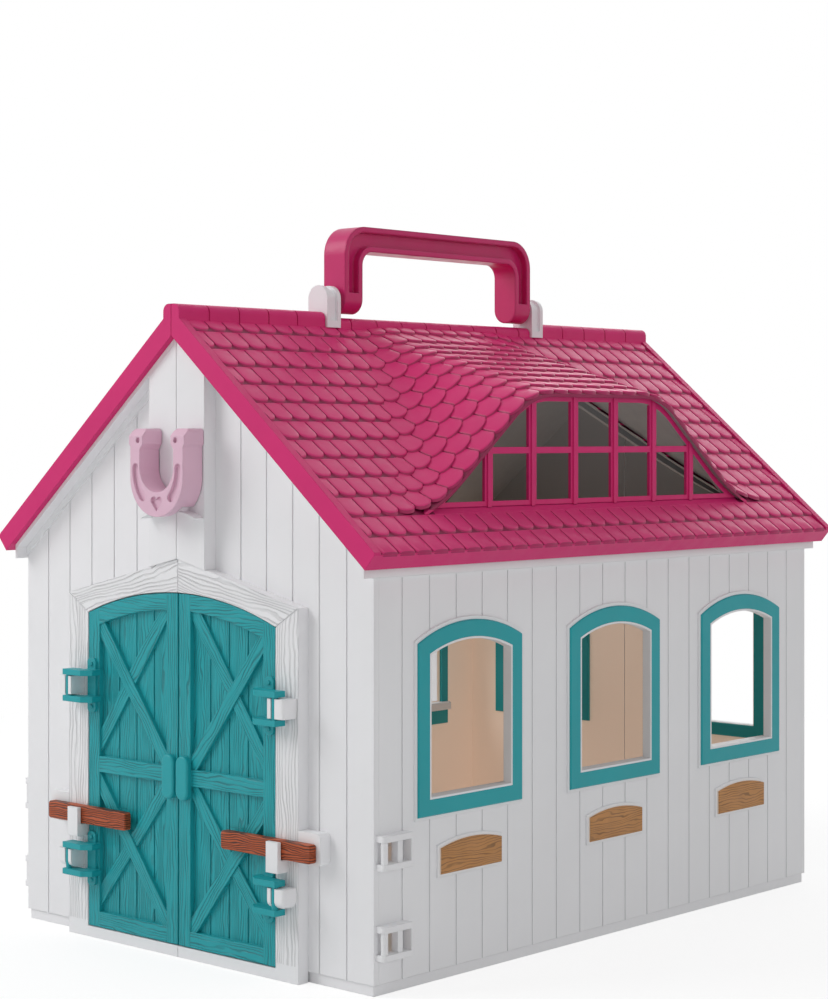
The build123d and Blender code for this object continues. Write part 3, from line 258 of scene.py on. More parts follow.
def map_range(tree, value, low, high, new_low, new_high, smooth=False):
    """Output of a Map Range node, clamped."""
    kind = "SMOOTHSTEP" if smooth else "LINEAR"
    mapped = add_node(
        tree,
        "ShaderNodeMapRange",
        {0: value, 1: low, 2: high, 3: new_low, 4: new_high},
        interpolation_type=kind,
    )
    return mapped.outputs[0]


def noise(tree, vector, scale, detail=2.0):
    """Output of a Noise texture."""
    made = add_node(
        tree, "ShaderNodeTexNoise", {"Vector": vector, "Scale": scale, "Detail": detail}
    )
    return made.outputs["Fac"]


def over(tree, value, limit):
    """One where a length is over a limit in millimetres, otherwise zero."""
    return maths(tree, "GREATER_THAN", value, limit * MM)


def under(tree, value, limit):
    """One where a length is under a limit in millimetres, otherwise zero."""
    return maths(tree, "LESS_THAN", value, limit * MM)


def every(tree, first, *others):
    """One where all masks are one, otherwise zero."""
    for other in others:
        first = maths(tree, "MULTIPLY", first, other)
    return first


def distance(tree, value, middle=0.0):
    """How far a coordinate lies from a place in millimetres, to either side."""
    return maths(tree, "ABSOLUTE", maths(tree, "SUBTRACT", value, middle * MM) if middle else value)


def tinted(colour, factor):
    """Colour made darker or lighter by a factor."""
    return tuple(min(1.0, value * factor) for value in colour)


class Finish:
    """Material under construction: its tree, its shader and its object coordinates."""

    def __init__(self, name):
        self.material = bpy.data.materials.new(name)
        self.material.use_nodes = True
        self.tree = self.material.node_tree
        self.shader = self.tree.nodes["Principled BSDF"]
        self.place = add_node(self.tree, "ShaderNodeTexCoord").outputs["Object"]
        split = add_node(self.tree, "ShaderNodeSeparateXYZ", {0: self.place})
        self.x, self.y, self.z = split.outputs

    def link(self, value, socket):
        """Link an output to one of the shader's inputs."""
        self.tree.links.new(value, self.shader.inputs[socket])

    def soft_edges(self, radius):
        """Normal of moulded edges softened by a radius."""
        return add_node(self.tree, "ShaderNodeBevel", {0: radius}, samples=4).outputs[0]

    def bump(self, height, depth, normal=None):
        """Normal of a relief of this depth."""
        inputs = {"Strength": 1.0, "Distance": depth, "Height": height}
        if normal is not None:
            inputs["Normal"] = normal
        return add_node(self.tree, "ShaderNodeBump", inputs).outputs[0]

    def mottled(self, colour, amount=0.05, scale=28.0):
        """Moulded plastic's slight change of tone across a piece."""
        tone = noise(self.tree, self.place, scale, 3.0)
        return blend_colours(
            self.tree,
            map_range(self.tree, tone, *TONE_RANGE, 0.0, 1.0),
            tinted(colour, 1 - amount),
            tinted(colour, 1 + amount),
        )

    def gloss(self, level):
        """Set the shader's specular level, the same all over."""
        self.shader.inputs["Specular IOR Level"].default_value = level

    def skin(self, rough, spread=0.06, scale=190.0):
        """Roughness that changes a little across the moulded skin."""
        value = noise(self.tree, self.place, scale, 3.0)
        level = map_range(self.tree, value, *ROUGH_RANGE, rough - spread, rough + spread)
        self.link(level, "Roughness")

    def texture(self, depth, normal=None, scale=1300.0):
        """Normal of the mould's fine spark texture."""
        return self.bump(noise(self.tree, self.place, scale, 2.0), depth, normal)

    def moulded(self, rough, edge, gloss=0.5):
        """Satin, softened edges and fine texture of smooth moulded plastic."""
        self.skin(rough)
        self.gloss(gloss)
        self.link(self.texture(SPARK_DEPTH * MM, self.soft_edges(edge)), "Normal")

    def timber(self, height, sunk, raised, depth, rough, edge, gloss=0.5):
        """Two tones, relief, satin and softened edges of moulded wood grain of this height; on one-colour
        plastic the darker tone of the sunk lines is painted shade, on the drop bars it is their wood-look
        print.
        """
        self.link(blend_colours(self.tree, height, sunk, raised), "Base Color")
        self.skin(rough)
        self.gloss(gloss)
        self.link(self.bump(height, depth, self.soft_edges(edge)), "Normal")


def grain(tree, across, along, spacing, sway, cell, seed=0.0, faint=0.3, thin=0.3):
    """Height of moulded wood grain: smooth between thin sunk lines that sway, fade and close up."""

    def patches(wide, tall, number):
        """Smooth noise in patches of this width and length, another one for each number."""
        spot = add_node(
            tree,
            "ShaderNodeCombineXYZ",
            {
                0: maths(tree, "DIVIDE", across, wide),
                1: maths(tree, "ADD", seed, number),
                2: maths(tree, "DIVIDE", along, tall),
            },
        ).outputs[0]
        return noise(tree, spot, 1.0, 1.0)

    swayed = maths(tree, "MULTIPLY", patches(cell, cell * 5.0, 0.0), sway)
    rippled = maths(tree, "MULTIPLY", patches(spacing * 4, spacing * 5, 7.0), 5.0)
    phase = maths(tree, "MULTIPLY", across, math.tau / spacing)
    wave = maths(tree, "SINE", maths(tree, "ADD", phase, maths(tree, "ADD", swayed, rippled)))
    line = map_range(tree, wave, thin, 0.95, 0.0, 1.0, smooth=True)
    shown = map_range(tree, patches(spacing * 3, spacing * 12, 13.0), *GRAIN_RANGE, faint, 1.0)
    return maths(tree, "SUBTRACT", 1.0, maths(tree, "MULTIPLY", line, shown))


def turned(tree, level, upright, angle):
    """Coordinates across and along a direction that climbs at an angle in degrees."""
    cosine = math.cos(math.radians(angle))
    sine = math.sin(math.radians(angle))
    across = maths(
        tree, "SUBTRACT", maths(tree, "MULTIPLY", upright, cosine), maths(tree, "MULTIPLY", level, sine)
    )
    along = maths(
        tree, "ADD", maths(tree, "MULTIPLY", level, cosine), maths(tree, "MULTIPLY", upright, sine)
    )
    return across, along


def blend_values(tree, factor, first, second):
    """Output of a float mix between two values."""
    return add_node(tree, "ShaderNodeMix", {0: factor, 2: first, 3: second}).outputs[0]


def facing(tree):
    """Parts of the direction that a face looks in, before it is softened."""
    made = add_node(tree, "ShaderNodeNewGeometry").outputs["True Normal"]
    return add_node(tree, "ShaderNodeSeparateXYZ", {0: made}).outputs


def paint(finish, *prefixes):
    """Give a finish to every CAD node whose name starts with one of these."""
    for name, obj in NODES.items():
        if name.startswith(prefixes):
            obj.data.materials.clear()
            obj.data.materials.append(finish.material)


def front_face(tree):
    """One on faces that look towards the door end, otherwise zero."""
    forward = maths(tree, "MULTIPLY", facing(tree)[1], -1.0)
    return maths(tree, "GREATER_THAN", forward, FORWARDS)


def attic_painted_glow(tree, height):
    """Painted glow under the roof: an emission strength that grows towards the ridge."""
    low, high = ATTIC_PAINTED_GLOW_Z
    return map_range(tree, height, low * MM, high * MM, 0.0, ATTIC_PAINTED_GLOW)


def white_finish(look):
    """White moulded plastic outside; inside, painted warm bounce light in cream, painted grey shade under
    the roof, and a painted glow.
    """
    colours = look.colours
    made = Finish("white_plastic")
    tree = made.tree
    inner = every(
        tree,
        under(tree, distance(tree, made.x), INSIDE_X),
        under(tree, distance(tree, made.y, MIDDLE_Y), INSIDE_Y),
        over(tree, made.z, TRAY_TOP_Z),
    )
    # Painted grey shade takes over from the painted cream bounce light towards the roof
    attic_shade = map_range(tree, made.z, ATTIC_SHADE_Z[0] * MM, ATTIC_SHADE_Z[1] * MM, 0.0, 1.0, smooth=True)
    painted_inner_light = blend_colours(tree, attic_shade, colours.inside, colours.attic_shade)
    made.link(blend_colours(tree, inner, made.mottled(colours.white, amount=0.012), painted_inner_light), "Base Color")
    # Painted glow: emission on the inner faces stands in for light coming through the thin plastic walls
    made.link(painted_inner_light, "Emission Color")
    glow = blend_values(tree, attic_shade, INSIDE_PAINTED_GLOW, attic_painted_glow(tree, made.z))
    made.link(maths(tree, "MULTIPLY", inner, glow), "Emission Strength")
    made.moulded(0.45, look.edge)
    return made


def frame_finish(look):
    """White plastic with the relief of sawn timber, up the posts and along the header, its sunk lines
    painted darker as shade.
    """
    made = Finish("white_timber_relief")
    tree = made.tree
    side = distance(tree, made.x)
    mitre = maths(tree, "MULTIPLY", maths(tree, "SUBTRACT", side, MITRE_PLACE[0] * MM), MITRE_SLOPE)
    header = maths(tree, "GREATER_THAN", maths(tree, "SUBTRACT", made.z, MITRE_PLACE[1] * MM), mitre)
    sign = maths(tree, "SIGN", made.x)
    sawn = {"spacing": 1.6 * MM, "cell": 9 * MM, "seed": sign, "faint": 0.55}
    post = grain(tree, made.x, made.z, sway=34.0, **sawn)
    beam = grain(tree, *turned(tree, side, made.z, HEADER_ANGLE), sway=40.0, **sawn)
    moulded = every(
        tree,
        under(tree, made.y, FRAME_FACE_Y[1]),
        over(tree, made.y, FRAME_FACE_Y[0]),
        front_face(tree),
        over(tree, made.z, FRAME_FOOT_Z),
    )
    height = blend_values(tree, moulded, 1.0, blend_values(tree, header, post, beam))
    white = look.colours.white
    # Sunk grain lines get a darker white: painted shade in the relief
    made.timber(height, tinted(white, 0.84), white, look.grain_depth, 0.45, look.edge)
    return made


def door_finish(look):
    """Teal plastic with relief grain up the planks and stiles, and along the rails and braces, its sunk
    lines painted darker as shade.
    """
    made = Finish("teal_timber_relief")
    tree = made.tree
    side = distance(tree, made.x)
    sign = maths(tree, "SIGN", made.x)
    from_edge = maths(tree, "SUBTRACT", side, PLANK_START * MM)
    plank = maths(tree, "FLOOR", maths(tree, "DIVIDE", from_edge, PLANK_PITCH * MM))
    plank_seed = maths(
        tree, "MULTIPLY", maths(tree, "ADD", plank, 1.3), maths(tree, "MULTIPLY", sign, 3.7)
    )
    planks = grain(
        tree, made.x, made.z, spacing=1.25 * MM, sway=36.0, cell=5 * MM, seed=plank_seed
    )
    directions = [(made.x, made.z), (made.z, side)]
    directions += [turned(tree, side, made.z, angle) for angle in BRACE_ANGLES]
    stiles, rails, rising, falling = [
        grain(tree, across, along, spacing=1.3 * MM, sway=30.0, cell=6 * MM, seed=sign)
        for across, along in directions
    ]
    between = every(tree, over(tree, side, STILE_X[0]), under(tree, side, STILE_X[1]))
    border = blend_values(tree, between, stiles, rails)
    height = planks
    for front, relief in zip(DOOR_LAYERS_Y, (falling, rising, border, 1.0)):
        height = blend_values(tree, under(tree, made.y, front), height, relief)
    height = blend_values(tree, front_face(tree), 1.0, height)
    teal = look.colours.teal
    # Sunk grain lines get a darker teal: painted shade in the relief
    made.timber(height, tinted(teal, 0.58), teal, look.grain_depth * 0.5, 0.42, look.edge, gloss=0.35)
    return made


def plain_finish(look, name, colour, rough, edge=None, mottle=0.03, gloss=0.5):
    """Plain moulded plastic of one colour."""
    made = Finish(name)
    made.link(made.mottled(colour, mottle), "Base Color")
    made.moulded(rough, edge or look.edge, gloss)
    return made


def roof_finish(look):
    """Magenta plastic with painted shade: darker in the gaps under the shingles and on the dormer lip's
    face, and painted grey shade with a painted glow from below.
    """
    magenta = look.colours.magenta
    made = Finish("magenta_plastic")
    made.moulded(0.45, look.edge, gloss=0.28)
    tree = made.tree
    side = distance(tree, made.x)
    middle = distance(tree, made.y, MIDDLE_Y)
    up = facing(tree)[2]
    slope = maths(tree, "ADD", maths(tree, "MULTIPLY", side, -ROOF_SLOPE), ROOF_TOP * MM)
    depth = maths(tree, "SUBTRACT", slope, made.z)

    sunk = over(tree, depth, UNDER_ROWS_DEPTH)
    under_rows = every(tree, sunk, under(tree, side, UNDER_ROWS_X))
    hood = every(tree, under(tree, depth, -HOOD_HEIGHT), over(tree, side, RIDGE_CAP_X))
    sill = maths(tree, "COMPARE", side, SILL_X[0] * MM, SILL_X[1] * MM)
    shown = every(tree, sill, sunk, under(tree, middle, SILL_Y))
    covered = maths(tree, "SUBTRACT", maths(tree, "MAXIMUM", under_rows, hood), shown)
    upper = every(tree, under(tree, middle, TILED_Y), maths(tree, "GREATER_THAN", up, UPWARDS))
    # Painted shade in the gaps between the shingles, darkest where the shell lies deepest
    gap = every(tree, covered, upper)
    deep = map_range(tree, depth, DEEP_GAP_SHADE[0] * MM, DEEP_GAP_SHADE[1] * MM, 0.0, 1.0)
    shaded = blend_colours(tree, deep, tinted(magenta, 0.32), look.colours.gap)

    # Painted shade on the dormer lip's front face, for the shadow under the shingles' edge
    shaded_lip = every(tree, hood, over(tree, side, LIP_FACE_X))
    magenta_and_lip_shade = blend_colours(tree, shaded_lip, made.mottled(magenta, amount=0.03), tinted(magenta, 0.45))
    outside_with_shade = blend_colours(tree, gap, magenta_and_lip_shade, shaded)

    # Faces under the roof that look down get the painted grey shade and a painted glow
    below = every(tree, under(tree, side, ROOF_INSIDE_X), under(tree, middle, ROOF_INSIDE_Y))
    attic_shade = every(tree, below, maths(tree, "LESS_THAN", up, -DOWNWARDS))
    made.link(blend_colours(tree, attic_shade, outside_with_shade, look.colours.attic_shade), "Base Color")
    made.shader.inputs["Emission Color"].default_value = (*look.colours.attic_shade, 1.0)
    glow = maths(tree, "MULTIPLY", attic_shade, attic_painted_glow(tree, made.z))
    made.link(glow, "Emission Strength")
    return made


def bar_finish(look):
    """Red-brown plastic with dark grain along the bar."""
    made = Finish("red_brown_timber")
    tree = made.tree
    sign = maths(tree, "SIGN", made.x)
    height = grain(
        tree, made.z, made.x, spacing=0.85 * MM, sway=22.0, cell=3.4 * MM, seed=sign, faint=0.7, thin=-0.3
    )
    bar = look.colours.bar
    made.timber(height, tinted(bar, 0.14), bar, 0.25 * MM, 0.45, look.edge, gloss=0.35)
    return made


def plate_finish(look):
    """Oak look of the name plates, with thin dark grain along the wall and a pale edge."""
    made = Finish("oak_look")
    tree = made.tree
    sign = maths(tree, "SIGN", made.x)
    height = grain(
        tree, made.z, made.y, spacing=1.1 * MM, sway=30.0, cell=4.4 * MM, seed=sign, faint=0.5
    )
    oak = look.colours.oak
    wood = blend_colours(tree, height, tinted(oak, 0.5), made.mottled(oak, amount=0.08, scale=90.0))
    rim = maths(tree, "LESS_THAN", maths(tree, "ABSOLUTE", facing(tree)[0]), PLATE_FACE)
    made.link(blend_colours(tree, rim, wood, linear(236, 214, 196)), "Base Color")
    made.skin(0.5)
    made.link(made.bump(height, 0.05 * MM, made.soft_edges(look.edge)), "Normal")
    return made


def steel_finish(look):
    """Zinc-plated steel of the screws and pins."""
    made = Finish("zinc_steel")
    made.shader.inputs["Metallic"].default_value = 1.0
    made.link(made.mottled(look.colours.steel, amount=0.08, scale=400.0), "Base Color")
    made.skin(0.34, spread=0.1, scale=900.0)
    made.link(made.texture(0.01 * MM, scale=2600.0), "Normal")
    return made


def shingle_finish(look):
    """Magenta plastic of the shingles, some a touch lighter, with painted shade on their sides and feet.
    """
    made = Finish("magenta_shingles")
    tree = made.tree
    tone = add_node(tree, "ShaderNodeAttribute", attribute_name="tone").outputs["Fac"]
    magenta = look.colours.magenta
    lighter = map_range(tree, tone, 0, 1, 0.0, 0.14)
    top = blend_colours(tree, lighter, made.mottled(magenta, amount=0.03), tinted(magenta, 1.35))
    # Painted shade on the shingle faces that do not look up: their sides and the risers at their feet
    edge = maths(tree, "LESS_THAN", facing(tree)[2], SHINGLE_TOP)
    made.link(blend_colours(tree, edge, top, tinted(magenta, 0.62)), "Base Color")
    made.skin(0.4)
    made.gloss(0.35)
    made.link(made.texture(0.02 * MM), "Normal")
    return made


def roof_height(x):
    """Height of the main slope at x."""
    return ROOF_TOP - x * ROOF_SLOPE


def lip_height(across):
    """Height of the dormer's lip at a distance across from its middle."""
    shoulder = LIP_FLAT + SHOULDER_RADIUS * math.sin(FLANK_ANGLE)
    if across <= LIP_FLAT:
        return LIP_TOP
    if across <= shoulder:
        return LIP_TOP - SHOULDER_RADIUS + math.sqrt(SHOULDER_RADIUS**2 - (across - LIP_FLAT) ** 2)
    if across <= FLANK_FOOT[0]:
        return FLANK_FOOT[1] + (FLANK_FOOT[0] - across) * math.tan(FLANK_ANGLE)
    reach = max(-VALLEY_RADIUS, min(0.0, across - VALLEY_CENTRE[0]))
    return VALLEY_CENTRE[1] - math.sqrt(VALLEY_RADIUS**2 - reach**2)


def slope_height(x, y, blend):
    """Height of the roof or of the dormer on it, whichever is higher, with a soft valley."""
    main = roof_height(x)
    dormer = lip_height(abs(y - MIDDLE_Y)) + (LIP_X - x) * LIP_SLOPE
    overlap = max(blend - abs(main - dormer), 0.0)
    return max(main, dormer) + overlap**2 / (4 * blend)


def shingle_lines(foot, length):
    """Where lines across a shingle lie, from its foot to its upper end, and how far each drops."""
    lines = [(foot - run * MM, drop) for run, drop in FOOT_ROUNDING]
    return [*lines, ((lines[-1][0] - length) / 2, 0.0), (-length, 0.0)]


def shingle_mesh(roof):
    """One shingle, its foot at the origin and its body uphill along -X."""
    width = roof.column_pitch - roof.gap
    length = roof.row_run + SHINGLE_OVERLAP * MM
    tilt = roof.step / roof.row_run
    feet = [-roof.foot_curve * abs(2 * share) ** 3 for share, _ in SHINGLE_SECTION]
    mesh = bmesh.new()
    rows = []
    for line in zip(*(shingle_lines(foot, length) for foot in feet)):
        row = []
        for (share, side_drop), (x, drop) in zip(SHINGLE_SECTION, line):
            lowered = max(drop, side_drop) * MM + roof.crown * (2 * share) ** 2
            row.append(mesh.verts.new((x, share * width, x * tilt - lowered)))
        rows.append(row)
    lower = [
        [mesh.verts.new((top.co.x, top.co.y, top.co.x * tilt - roof.thickness)) for top in row]
        for row in (rows[0], rows[-1])
    ]
    for near, far in zip(rows, rows[1:]):
        for step in range(len(SHINGLE_SECTION) - 1):
            mesh.faces.new((near[step], near[step + 1], far[step + 1], far[step]))
    for step in range(len(SHINGLE_SECTION) - 1):
        mesh.faces.new((rows[0][step], lower[0][step], lower[0][step + 1], rows[0][step + 1]))
        mesh.faces.new((rows[-1][step + 1], lower[1][step + 1], lower[1][step], rows[-1][step]))
        mesh.faces.new((lower[0][step], lower[1][step], lower[1][step + 1], lower[0][step + 1]))
    for edge in (0, -1):
        line = [row[edge] for row in rows]
        mesh.faces.new((*line, lower[1][edge], lower[0][edge]))
    bmesh.ops.recalc_face_normals(mesh, faces=mesh.faces)
    made = bpy.data.meshes.new("shingle")
    mesh.to_mesh(made)
    mesh.free()
    return made


def shingle_tree():
    """Geometry Nodes tree that lays rows of shingles, every other row half a shingle over."""
    tree = bpy.data.node_groups.new("Shingle rows", "GeometryNodeTree")
    sockets = (
        ("Shingle", "NodeSocketGeometry"),
        ("Rows", "NodeSocketInt"),
        ("Columns", "NodeSocketInt"),
        ("First Foot", "NodeSocketFloat"),
        ("Row Run", "NodeSocketFloat"),
        ("Column Pitch", "NodeSocketFloat"),
        ("Start", "NodeSocketFloat"),
        ("First Row", "NodeSocketInt"),
        ("Seed", "NodeSocketInt"),
        ("Material", "NodeSocketMaterial"),
    )
    for name, kind in sockets:
        tree.interface.new_socket(name, in_out="INPUT", socket_type=kind)
    tree.interface.new_socket("Rows of Shingles", in_out="OUTPUT", socket_type="NodeSocketGeometry")
    given = add_node(tree, "NodeGroupInput").outputs
    index = add_node(tree, "GeometryNodeInputIndex").outputs[0]
    count = maths(tree, "MULTIPLY", given["Rows"], given["Columns"])
    row = maths(tree, "FLOOR", maths(tree, "DIVIDE", maths(tree, "ADD", index, 0.5), given["Columns"]))
    column = maths(tree, "SUBTRACT", index, maths(tree, "MULTIPLY", row, given["Columns"]))
    odd = maths(tree, "MODULO", maths(tree, "ADD", row, given["First Row"]), 2.0)
    shift = maths(tree, "SUBTRACT", column, maths(tree, "MULTIPLY", odd, 0.5))
    place = add_node(
        tree,
        "ShaderNodeCombineXYZ",
        {
            0: maths(tree, "ADD", given["First Foot"], maths(tree, "MULTIPLY", row, given["Row Run"])),
            1: maths(tree, "ADD", given["Start"], maths(tree, "MULTIPLY", shift, given["Column Pitch"])),
        },
    ).outputs[0]
    points = add_node(tree, "GeometryNodePoints", {"Count": count, "Position": place}).outputs[0]
    laid = add_node(
        tree, "GeometryNodeInstanceOnPoints", {"Points": points, "Instance": given["Shingle"]}
    ).outputs[0]
    tone = add_node(tree, "FunctionNodeRandomValue", {"Seed": given["Seed"]}, data_type="FLOAT")
    toned = add_node(
        tree,
        "GeometryNodeStoreNamedAttribute",
        {"Geometry": laid, "Name": "tone", "Value": tone.outputs[1]},
        data_type="FLOAT",
        domain="INSTANCE",
    ).outputs[0]
    real = add_node(tree, "GeometryNodeRealizeInstances", {0: toned}).outputs[0]
    finished = add_node(
        tree, "GeometryNodeSetMaterial", {"Geometry": real, "Material": given["Material"]}
    ).outputs[0]
    add_node(tree, "NodeGroupOutput", {0: finished})
    return tree


def nodes_result(name, start_mesh, tree, values):
    """Plain mesh that a Geometry Nodes tree makes of a mesh."""
    carrier = bpy.data.objects.new(name, start_mesh)
    bpy.context.scene.collection.objects.link(carrier)
    modifier = carrier.modifiers.new("Rows", "NODES")
    modifier.node_group = tree
    for item in tree.interface.items_tree:
        if item.in_out == "INPUT" and item.name in values:
            modifier[item.identifier] = values[item.name]
    depsgraph = bpy.context.evaluated_depsgraph_get()
    made = bpy.data.meshes.new_from_object(carrier.evaluated_get(depsgraph))
    bpy.data.objects.remove(carrier)
    return made


def add_piece(name, mesh, finish, body):
    """Piece from mesh code, in a finish, that rides on a body."""
    made = bpy.data.meshes.new(name)
    mesh.to_mesh(made)
    made.materials.clear()
    made.materials.append(finish.material)
    piece = bpy.data.objects.new(name, made)
    bpy.context.scene.collection.objects.link(piece)
    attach(piece, body)
    return piece


def trim(mesh, point, outward):
    """Cut a mesh off beyond a plane and close the cuts."""
    geometry = [*mesh.verts, *mesh.edges, *mesh.faces]
    bmesh.ops.bisect_plane(
        mesh, geom=geometry, dist=1e-7, plane_co=point, plane_no=outward, clear_outer=True
    )
    open_edges = [edge for edge in mesh.edges if edge.is_boundary]
    bmesh.ops.holes_fill(mesh, edges=open_edges, sides=0)


def lay_shingles(name, source, finish, height, end_x):
    """Drape flat rows of shingles over the roof, once for each half."""
    mesh = bmesh.new()
    mesh.from_mesh(source)
    trim(mesh, (RIDGE_CUT_X * MM, 0, 0), (-1, 0, 0))
    trim(mesh, (end_x * MM, 0, 0), (1, 0, 0))
    trim(mesh, (0, SLOPE_Y[0] * MM, 0), (0, -1, 0))
    trim(mesh, (0, SLOPE_Y[1] * MM, 0), (0, 1, 0))
    for vertex in mesh.verts:
        vertex.co.z += height(vertex.co.x / MM, vertex.co.y / MM) * MM
    for side in SIDES:
        if side == "left":
            for vertex in mesh.verts:
                vertex.co.x = -vertex.co.x
            bmesh.ops.reverse_faces(mesh, faces=mesh.faces)
        piece = add_piece(f"{name}_{side}", mesh, finish, f"half_{side}")
        for polygon in piece.data.polygons:
            polygon.use_smooth = True
        piece.data.set_sharp_from_angle(angle=SHARP_ANGLE)
    mesh.free()


def door_band(side, finish):
    """Panel, brace and stile of a door where its solid leaves room behind the drop bar."""
    low, high = DOOR_BAND_Z
    back = DOOR_BAND_STEPS[-1][2]
    profile = [(*DOOR_BAND_STEPS[0][:2], back)]
    for start, end in zip(DOOR_BAND_STEPS, DOOR_BAND_STEPS[1:]):
        profile += [start, (*end[:2], start[2])]
    profile.append((*DOOR_BAND_STEPS[-1][:2], back))
    sign = 1 if side == "right" else -1
    mesh = bmesh.new()
    lower = [mesh.verts.new((sign * x * MM, y * MM, low * MM)) for x, _, y in profile]
    upper = [mesh.verts.new((sign * x * MM, y * MM, high * MM)) for _, x, y in profile]
    for step in range(len(profile)):
        after = (step + 1) % len(profile)
        mesh.faces.new((lower[step], lower[after], upper[after], upper[step]))
    mesh.faces.new(lower)
    mesh.faces.new(reversed(upper))
    bmesh.ops.recalc_face_normals(mesh, faces=mesh.faces)
    add_piece(f"door_band_{side}", mesh, finish, f"door_{side}")
    mesh.free()


def seen_directly(tree):
    """One for rays from the camera and for reflections and refractions, otherwise zero."""
    path = add_node(tree, "ShaderNodeLightPath").outputs
    glossy = maths(tree, "MAXIMUM", path["Is Camera Ray"], path["Is Glossy Ray"])
    return maths(tree, "MAXIMUM", glossy, path["Is Transmission Ray"])


class STABLE_OT_stage(bpy.types.Operator):
    """Lay the pale floor, hang the soft lamps and set the camera"""

    bl_idname = "stable.stage"
    bl_label = "Stage"

    def execute(self, context):
        scene = context.scene
        scene.view_settings.view_transform = "Standard"
        camera = bpy.data.cameras.new("camera")
        camera.lens = CAMERA_LENS
        camera.sensor_width = 36.0
        camera.shift_y = CAMERA_SHIFT
        camera.clip_start = 0.05
        camera.clip_end = 20.0
        viewpoint = bpy.data.objects.new("camera", camera)
        viewpoint.location = CAMERA_PLACE
        viewpoint.rotation_euler = [math.radians(angle) for angle in CAMERA_TURN]
        scene.collection.objects.link(viewpoint)
        scene.camera = viewpoint
        for name, (place, size, power) in LAMPS.items():
            self.add_lamp(scene, name, place, size, power)
        self.add_floor(scene)
        self.add_world(scene)
        return {"FINISHED"}

    def add_lamp(self, scene, name, place, size, power):
        """Square soft lamp that faces the middle of the stable."""
        lamp = bpy.data.lights.new(name, "AREA")
        lamp.size = size
        lamp.energy = power
        holder = bpy.data.objects.new(name, lamp)
        holder.location = place
        aim = Vector(LAMP_TARGET) - Vector(place)
        holder.rotation_euler = aim.to_track_quat("-Z", "Y").to_euler()
        scene.collection.objects.link(holder)

    def add_floor(self, scene):
        """Wide pale floor that keeps the stable's shadow."""
        mesh = bmesh.new()
        bmesh.ops.create_circle(mesh, cap_ends=True, segments=64, radius=FLOOR_RADIUS)
        made = bpy.data.meshes.new("floor")
        mesh.to_mesh(made)
        mesh.free()
        floor = bpy.data.objects.new("floor", made)
        scene.collection.objects.link(floor)
        finish = Finish("floor_paint")
        tree = finish.tree
        finish.shader.inputs["Base Color"].default_value = FLOOR_PAINT
        finish.shader.inputs["Roughness"].default_value = 0.9
        finish.gloss(0.1)
        measured = add_node(tree, "ShaderNodeVectorMath", {0: finish.place}, operation="LENGTH")
        reach = measured.outputs["Value"]
        far = map_range(tree, reach, *FLOOR_RING, *FLOOR_GLOW_SHARE, smooth=True)
        white = map_range(tree, reach, *FLOOR_RING, *FLOOR_GLOW, smooth=True)
        glow = add_node(tree, "ShaderNodeEmission", {0: (1, 1, 1, 1), 1: white}).outputs[0]
        share = maths(tree, "MULTIPLY", far, seen_directly(tree))
        shown = add_node(
            tree, "ShaderNodeMixShader", {0: share, 1: finish.shader.outputs[0], 2: glow}
        ).outputs[0]
        tree.links.new(shown, tree.nodes["Material Output"].inputs["Surface"])
        made.materials.append(finish.material)

    def add_world(self, scene):
        """Even studio light, with white behind the stable."""
        world = bpy.data.worlds.new("studio")
        world.use_nodes = True
        tree = world.node_tree
        background = tree.nodes["Background"]
        background.inputs["Color"].default_value = (1, 1, 1, 1)
        tree.links.new(
            map_range(tree, seen_directly(tree), 0.0, 1.0, WORLD_LIGHT, 1.0),
            background.inputs["Strength"],
        )
        scene.world = world


class STABLE_OT_walls(bpy.types.Operator):
    """Finish the base trays, side walls, gables, connectors and roof liners"""

    bl_idname = "stable.walls"
    bl_label = "Walls"

    def execute(self, context):
        look = context.scene.stable
        paint(
            white_finish(look),
            "base_tray", "side_wall", "side_connectors", "front_gable", "rear_gable", "roof_liner",
        )
        return {"FINISHED"}


class STABLE_OT_openings(bpy.types.Operator):
    """Finish the door frame, the doors, the windows and the name plates"""

    bl_idname = "stable.openings"
    bl_label = "Doors and windows"

    def execute(self, context):
        look = context.scene.stable
        paint(frame_finish(look), "door_frame")
        door = door_finish(look)
        paint(door, "door_right", "door_left")
        for side in SIDES:
            door_band(side, door)
        paint(
            plain_finish(look, "teal_plastic", look.colours.teal, 0.4, gloss=0.35),
            "window_frame", "window_trim", "rear_window",
        )
        paint(plain_finish(look, "ledge_plastic", look.colours.white, 0.42, mottle=0.012), "window_ledge")
        paint(plate_finish(look), "name_plate")
        return {"FINISHED"}


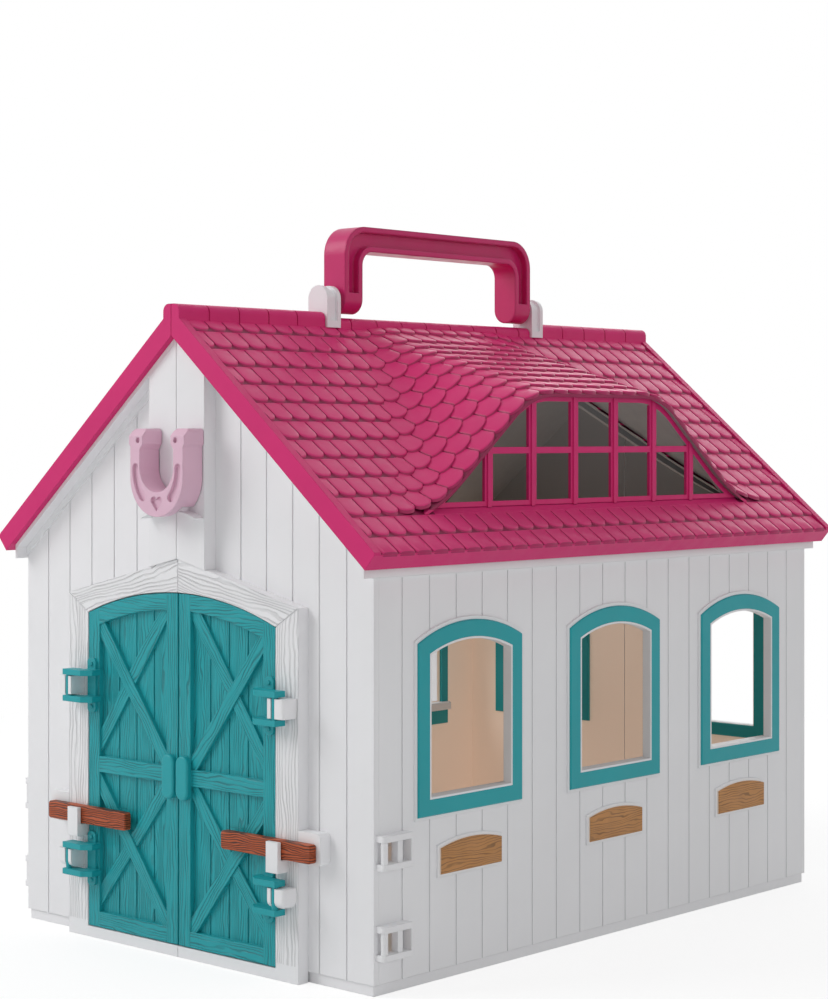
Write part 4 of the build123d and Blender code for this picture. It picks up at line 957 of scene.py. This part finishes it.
class STABLE_OT_roof(bpy.types.Operator):
    """Finish the roof shell and the dormers, and lay the shingles on them"""

    bl_idname = "stable.roof"
    bl_label = "Roof"

    def execute(self, context):
        look = context.scene.stable
        roof = look.roof
        paint(roof_finish(look), "roof_shell", "dormer")
        finish = shingle_finish(look)
        shingle = shingle_mesh(roof)
        tree = shingle_tree()
        span = SLOPE_Y[1] - SLOPE_Y[0]
        columns = round(span * MM / roof.column_pitch)
        pitch = span * MM / columns
        common = {
            "Columns": columns + 1,
            "Row Run": roof.row_run,
            "Column Pitch": pitch,
            "Start": SLOPE_Y[0] * MM + pitch / 2,
            "Material": finish.material,
        }
        upper = nodes_result(
            "slope", shingle, tree,
            {**common, "Rows": SLOPE_ROWS, "First Foot": roof.first_foot, "First Row": 0, "Seed": 3},
        )
        lay_shingles(
            "shingles_slope", upper, finish,
            lambda x, y: slope_height(x, y, roof.blend / MM), PAST_ALL_ROWS_X,
        )
        eave_foot = roof.first_foot + SLOPE_ROWS * roof.row_run
        lower = nodes_result(
            "eave", shingle, tree,
            {**common, "Rows": EAVE_ROWS, "First Foot": eave_foot, "First Row": SLOPE_ROWS, "Seed": 8},
        )
        lay_shingles("shingles_eave", lower, finish, lambda x, y: roof_height(x), EAVE_CUT_X)
        return {"FINISHED"}


class STABLE_OT_hardware(bpy.types.Operator):
    """Finish the handle, the brackets, the latch, the drop bars and the screws"""

    bl_idname = "stable.hardware"
    bl_label = "Handle, latch and bars"

    def execute(self, context):
        look = context.scene.stable
        colours = look.colours
        handle = tinted(colours.magenta, 0.88)
        paint(
            plain_finish(look, "handle_plastic", handle, 0.36, look.handle_edge, gloss=0.35), "handle"
        )
        paint(plain_finish(look, "bracket_plastic", colours.white, 0.4, mottle=0.012), "handle_bracket")
        paint(
            plain_finish(look, "lilac_plastic", colours.lilac, 0.4, look.latch_edge),
            "horseshoe_latch", "latch_slide_plate",
        )
        paint(bar_finish(look), "drop_bar")
        paint(
            steel_finish(look),
            "handle_pins", "rear_hinge_pin", "bar_screw", "base_screws", "latch_screw",
        )
        return {"FINISHED"}


class STABLE_PT_pieces(bpy.types.Panel):
    """Sidebar with the stable's steps and its colour and size settings"""

    bl_idname = "STABLE_PT_pieces"
    bl_label = "Toy stable"
    bl_space_type = "VIEW_3D"
    bl_region_type = "UI"
    bl_category = "Stable"

    def draw(self, context):
        look = context.scene.stable
        for operator in OPERATORS:
            self.layout.operator(operator.bl_idname)
        for group in (look.colours, look.roof, look):
            for name in group.__annotations__:
                if name not in ("colours", "roof"):
                    self.layout.prop(group, name)


OPERATORS = (STABLE_OT_stage, STABLE_OT_walls, STABLE_OT_openings, STABLE_OT_roof, STABLE_OT_hardware)
CLASSES = (StableColours, StableRoof, StableFinish, *OPERATORS, STABLE_PT_pieces)


def register():
    """Make the stable's operators, panel and properties known to Blender."""
    for item in CLASSES:
        bpy.utils.register_class(item)
    bpy.types.Scene.stable = bpy.props.PointerProperty(type=StableFinish)


def unregister():
    """Take the stable's operators, panel and properties out again."""
    del bpy.types.Scene.stable
    for item in reversed(CLASSES):
        bpy.utils.unregister_class(item)


def main():
    """Dress the stable piece by piece."""
    register()
    bpy.ops.stable.stage()
    bpy.ops.stable.walls()
    bpy.ops.stable.openings()
    bpy.ops.stable.roof()
    bpy.ops.stable.hardware()
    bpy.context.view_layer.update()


if __name__ == "__main__":
    main()
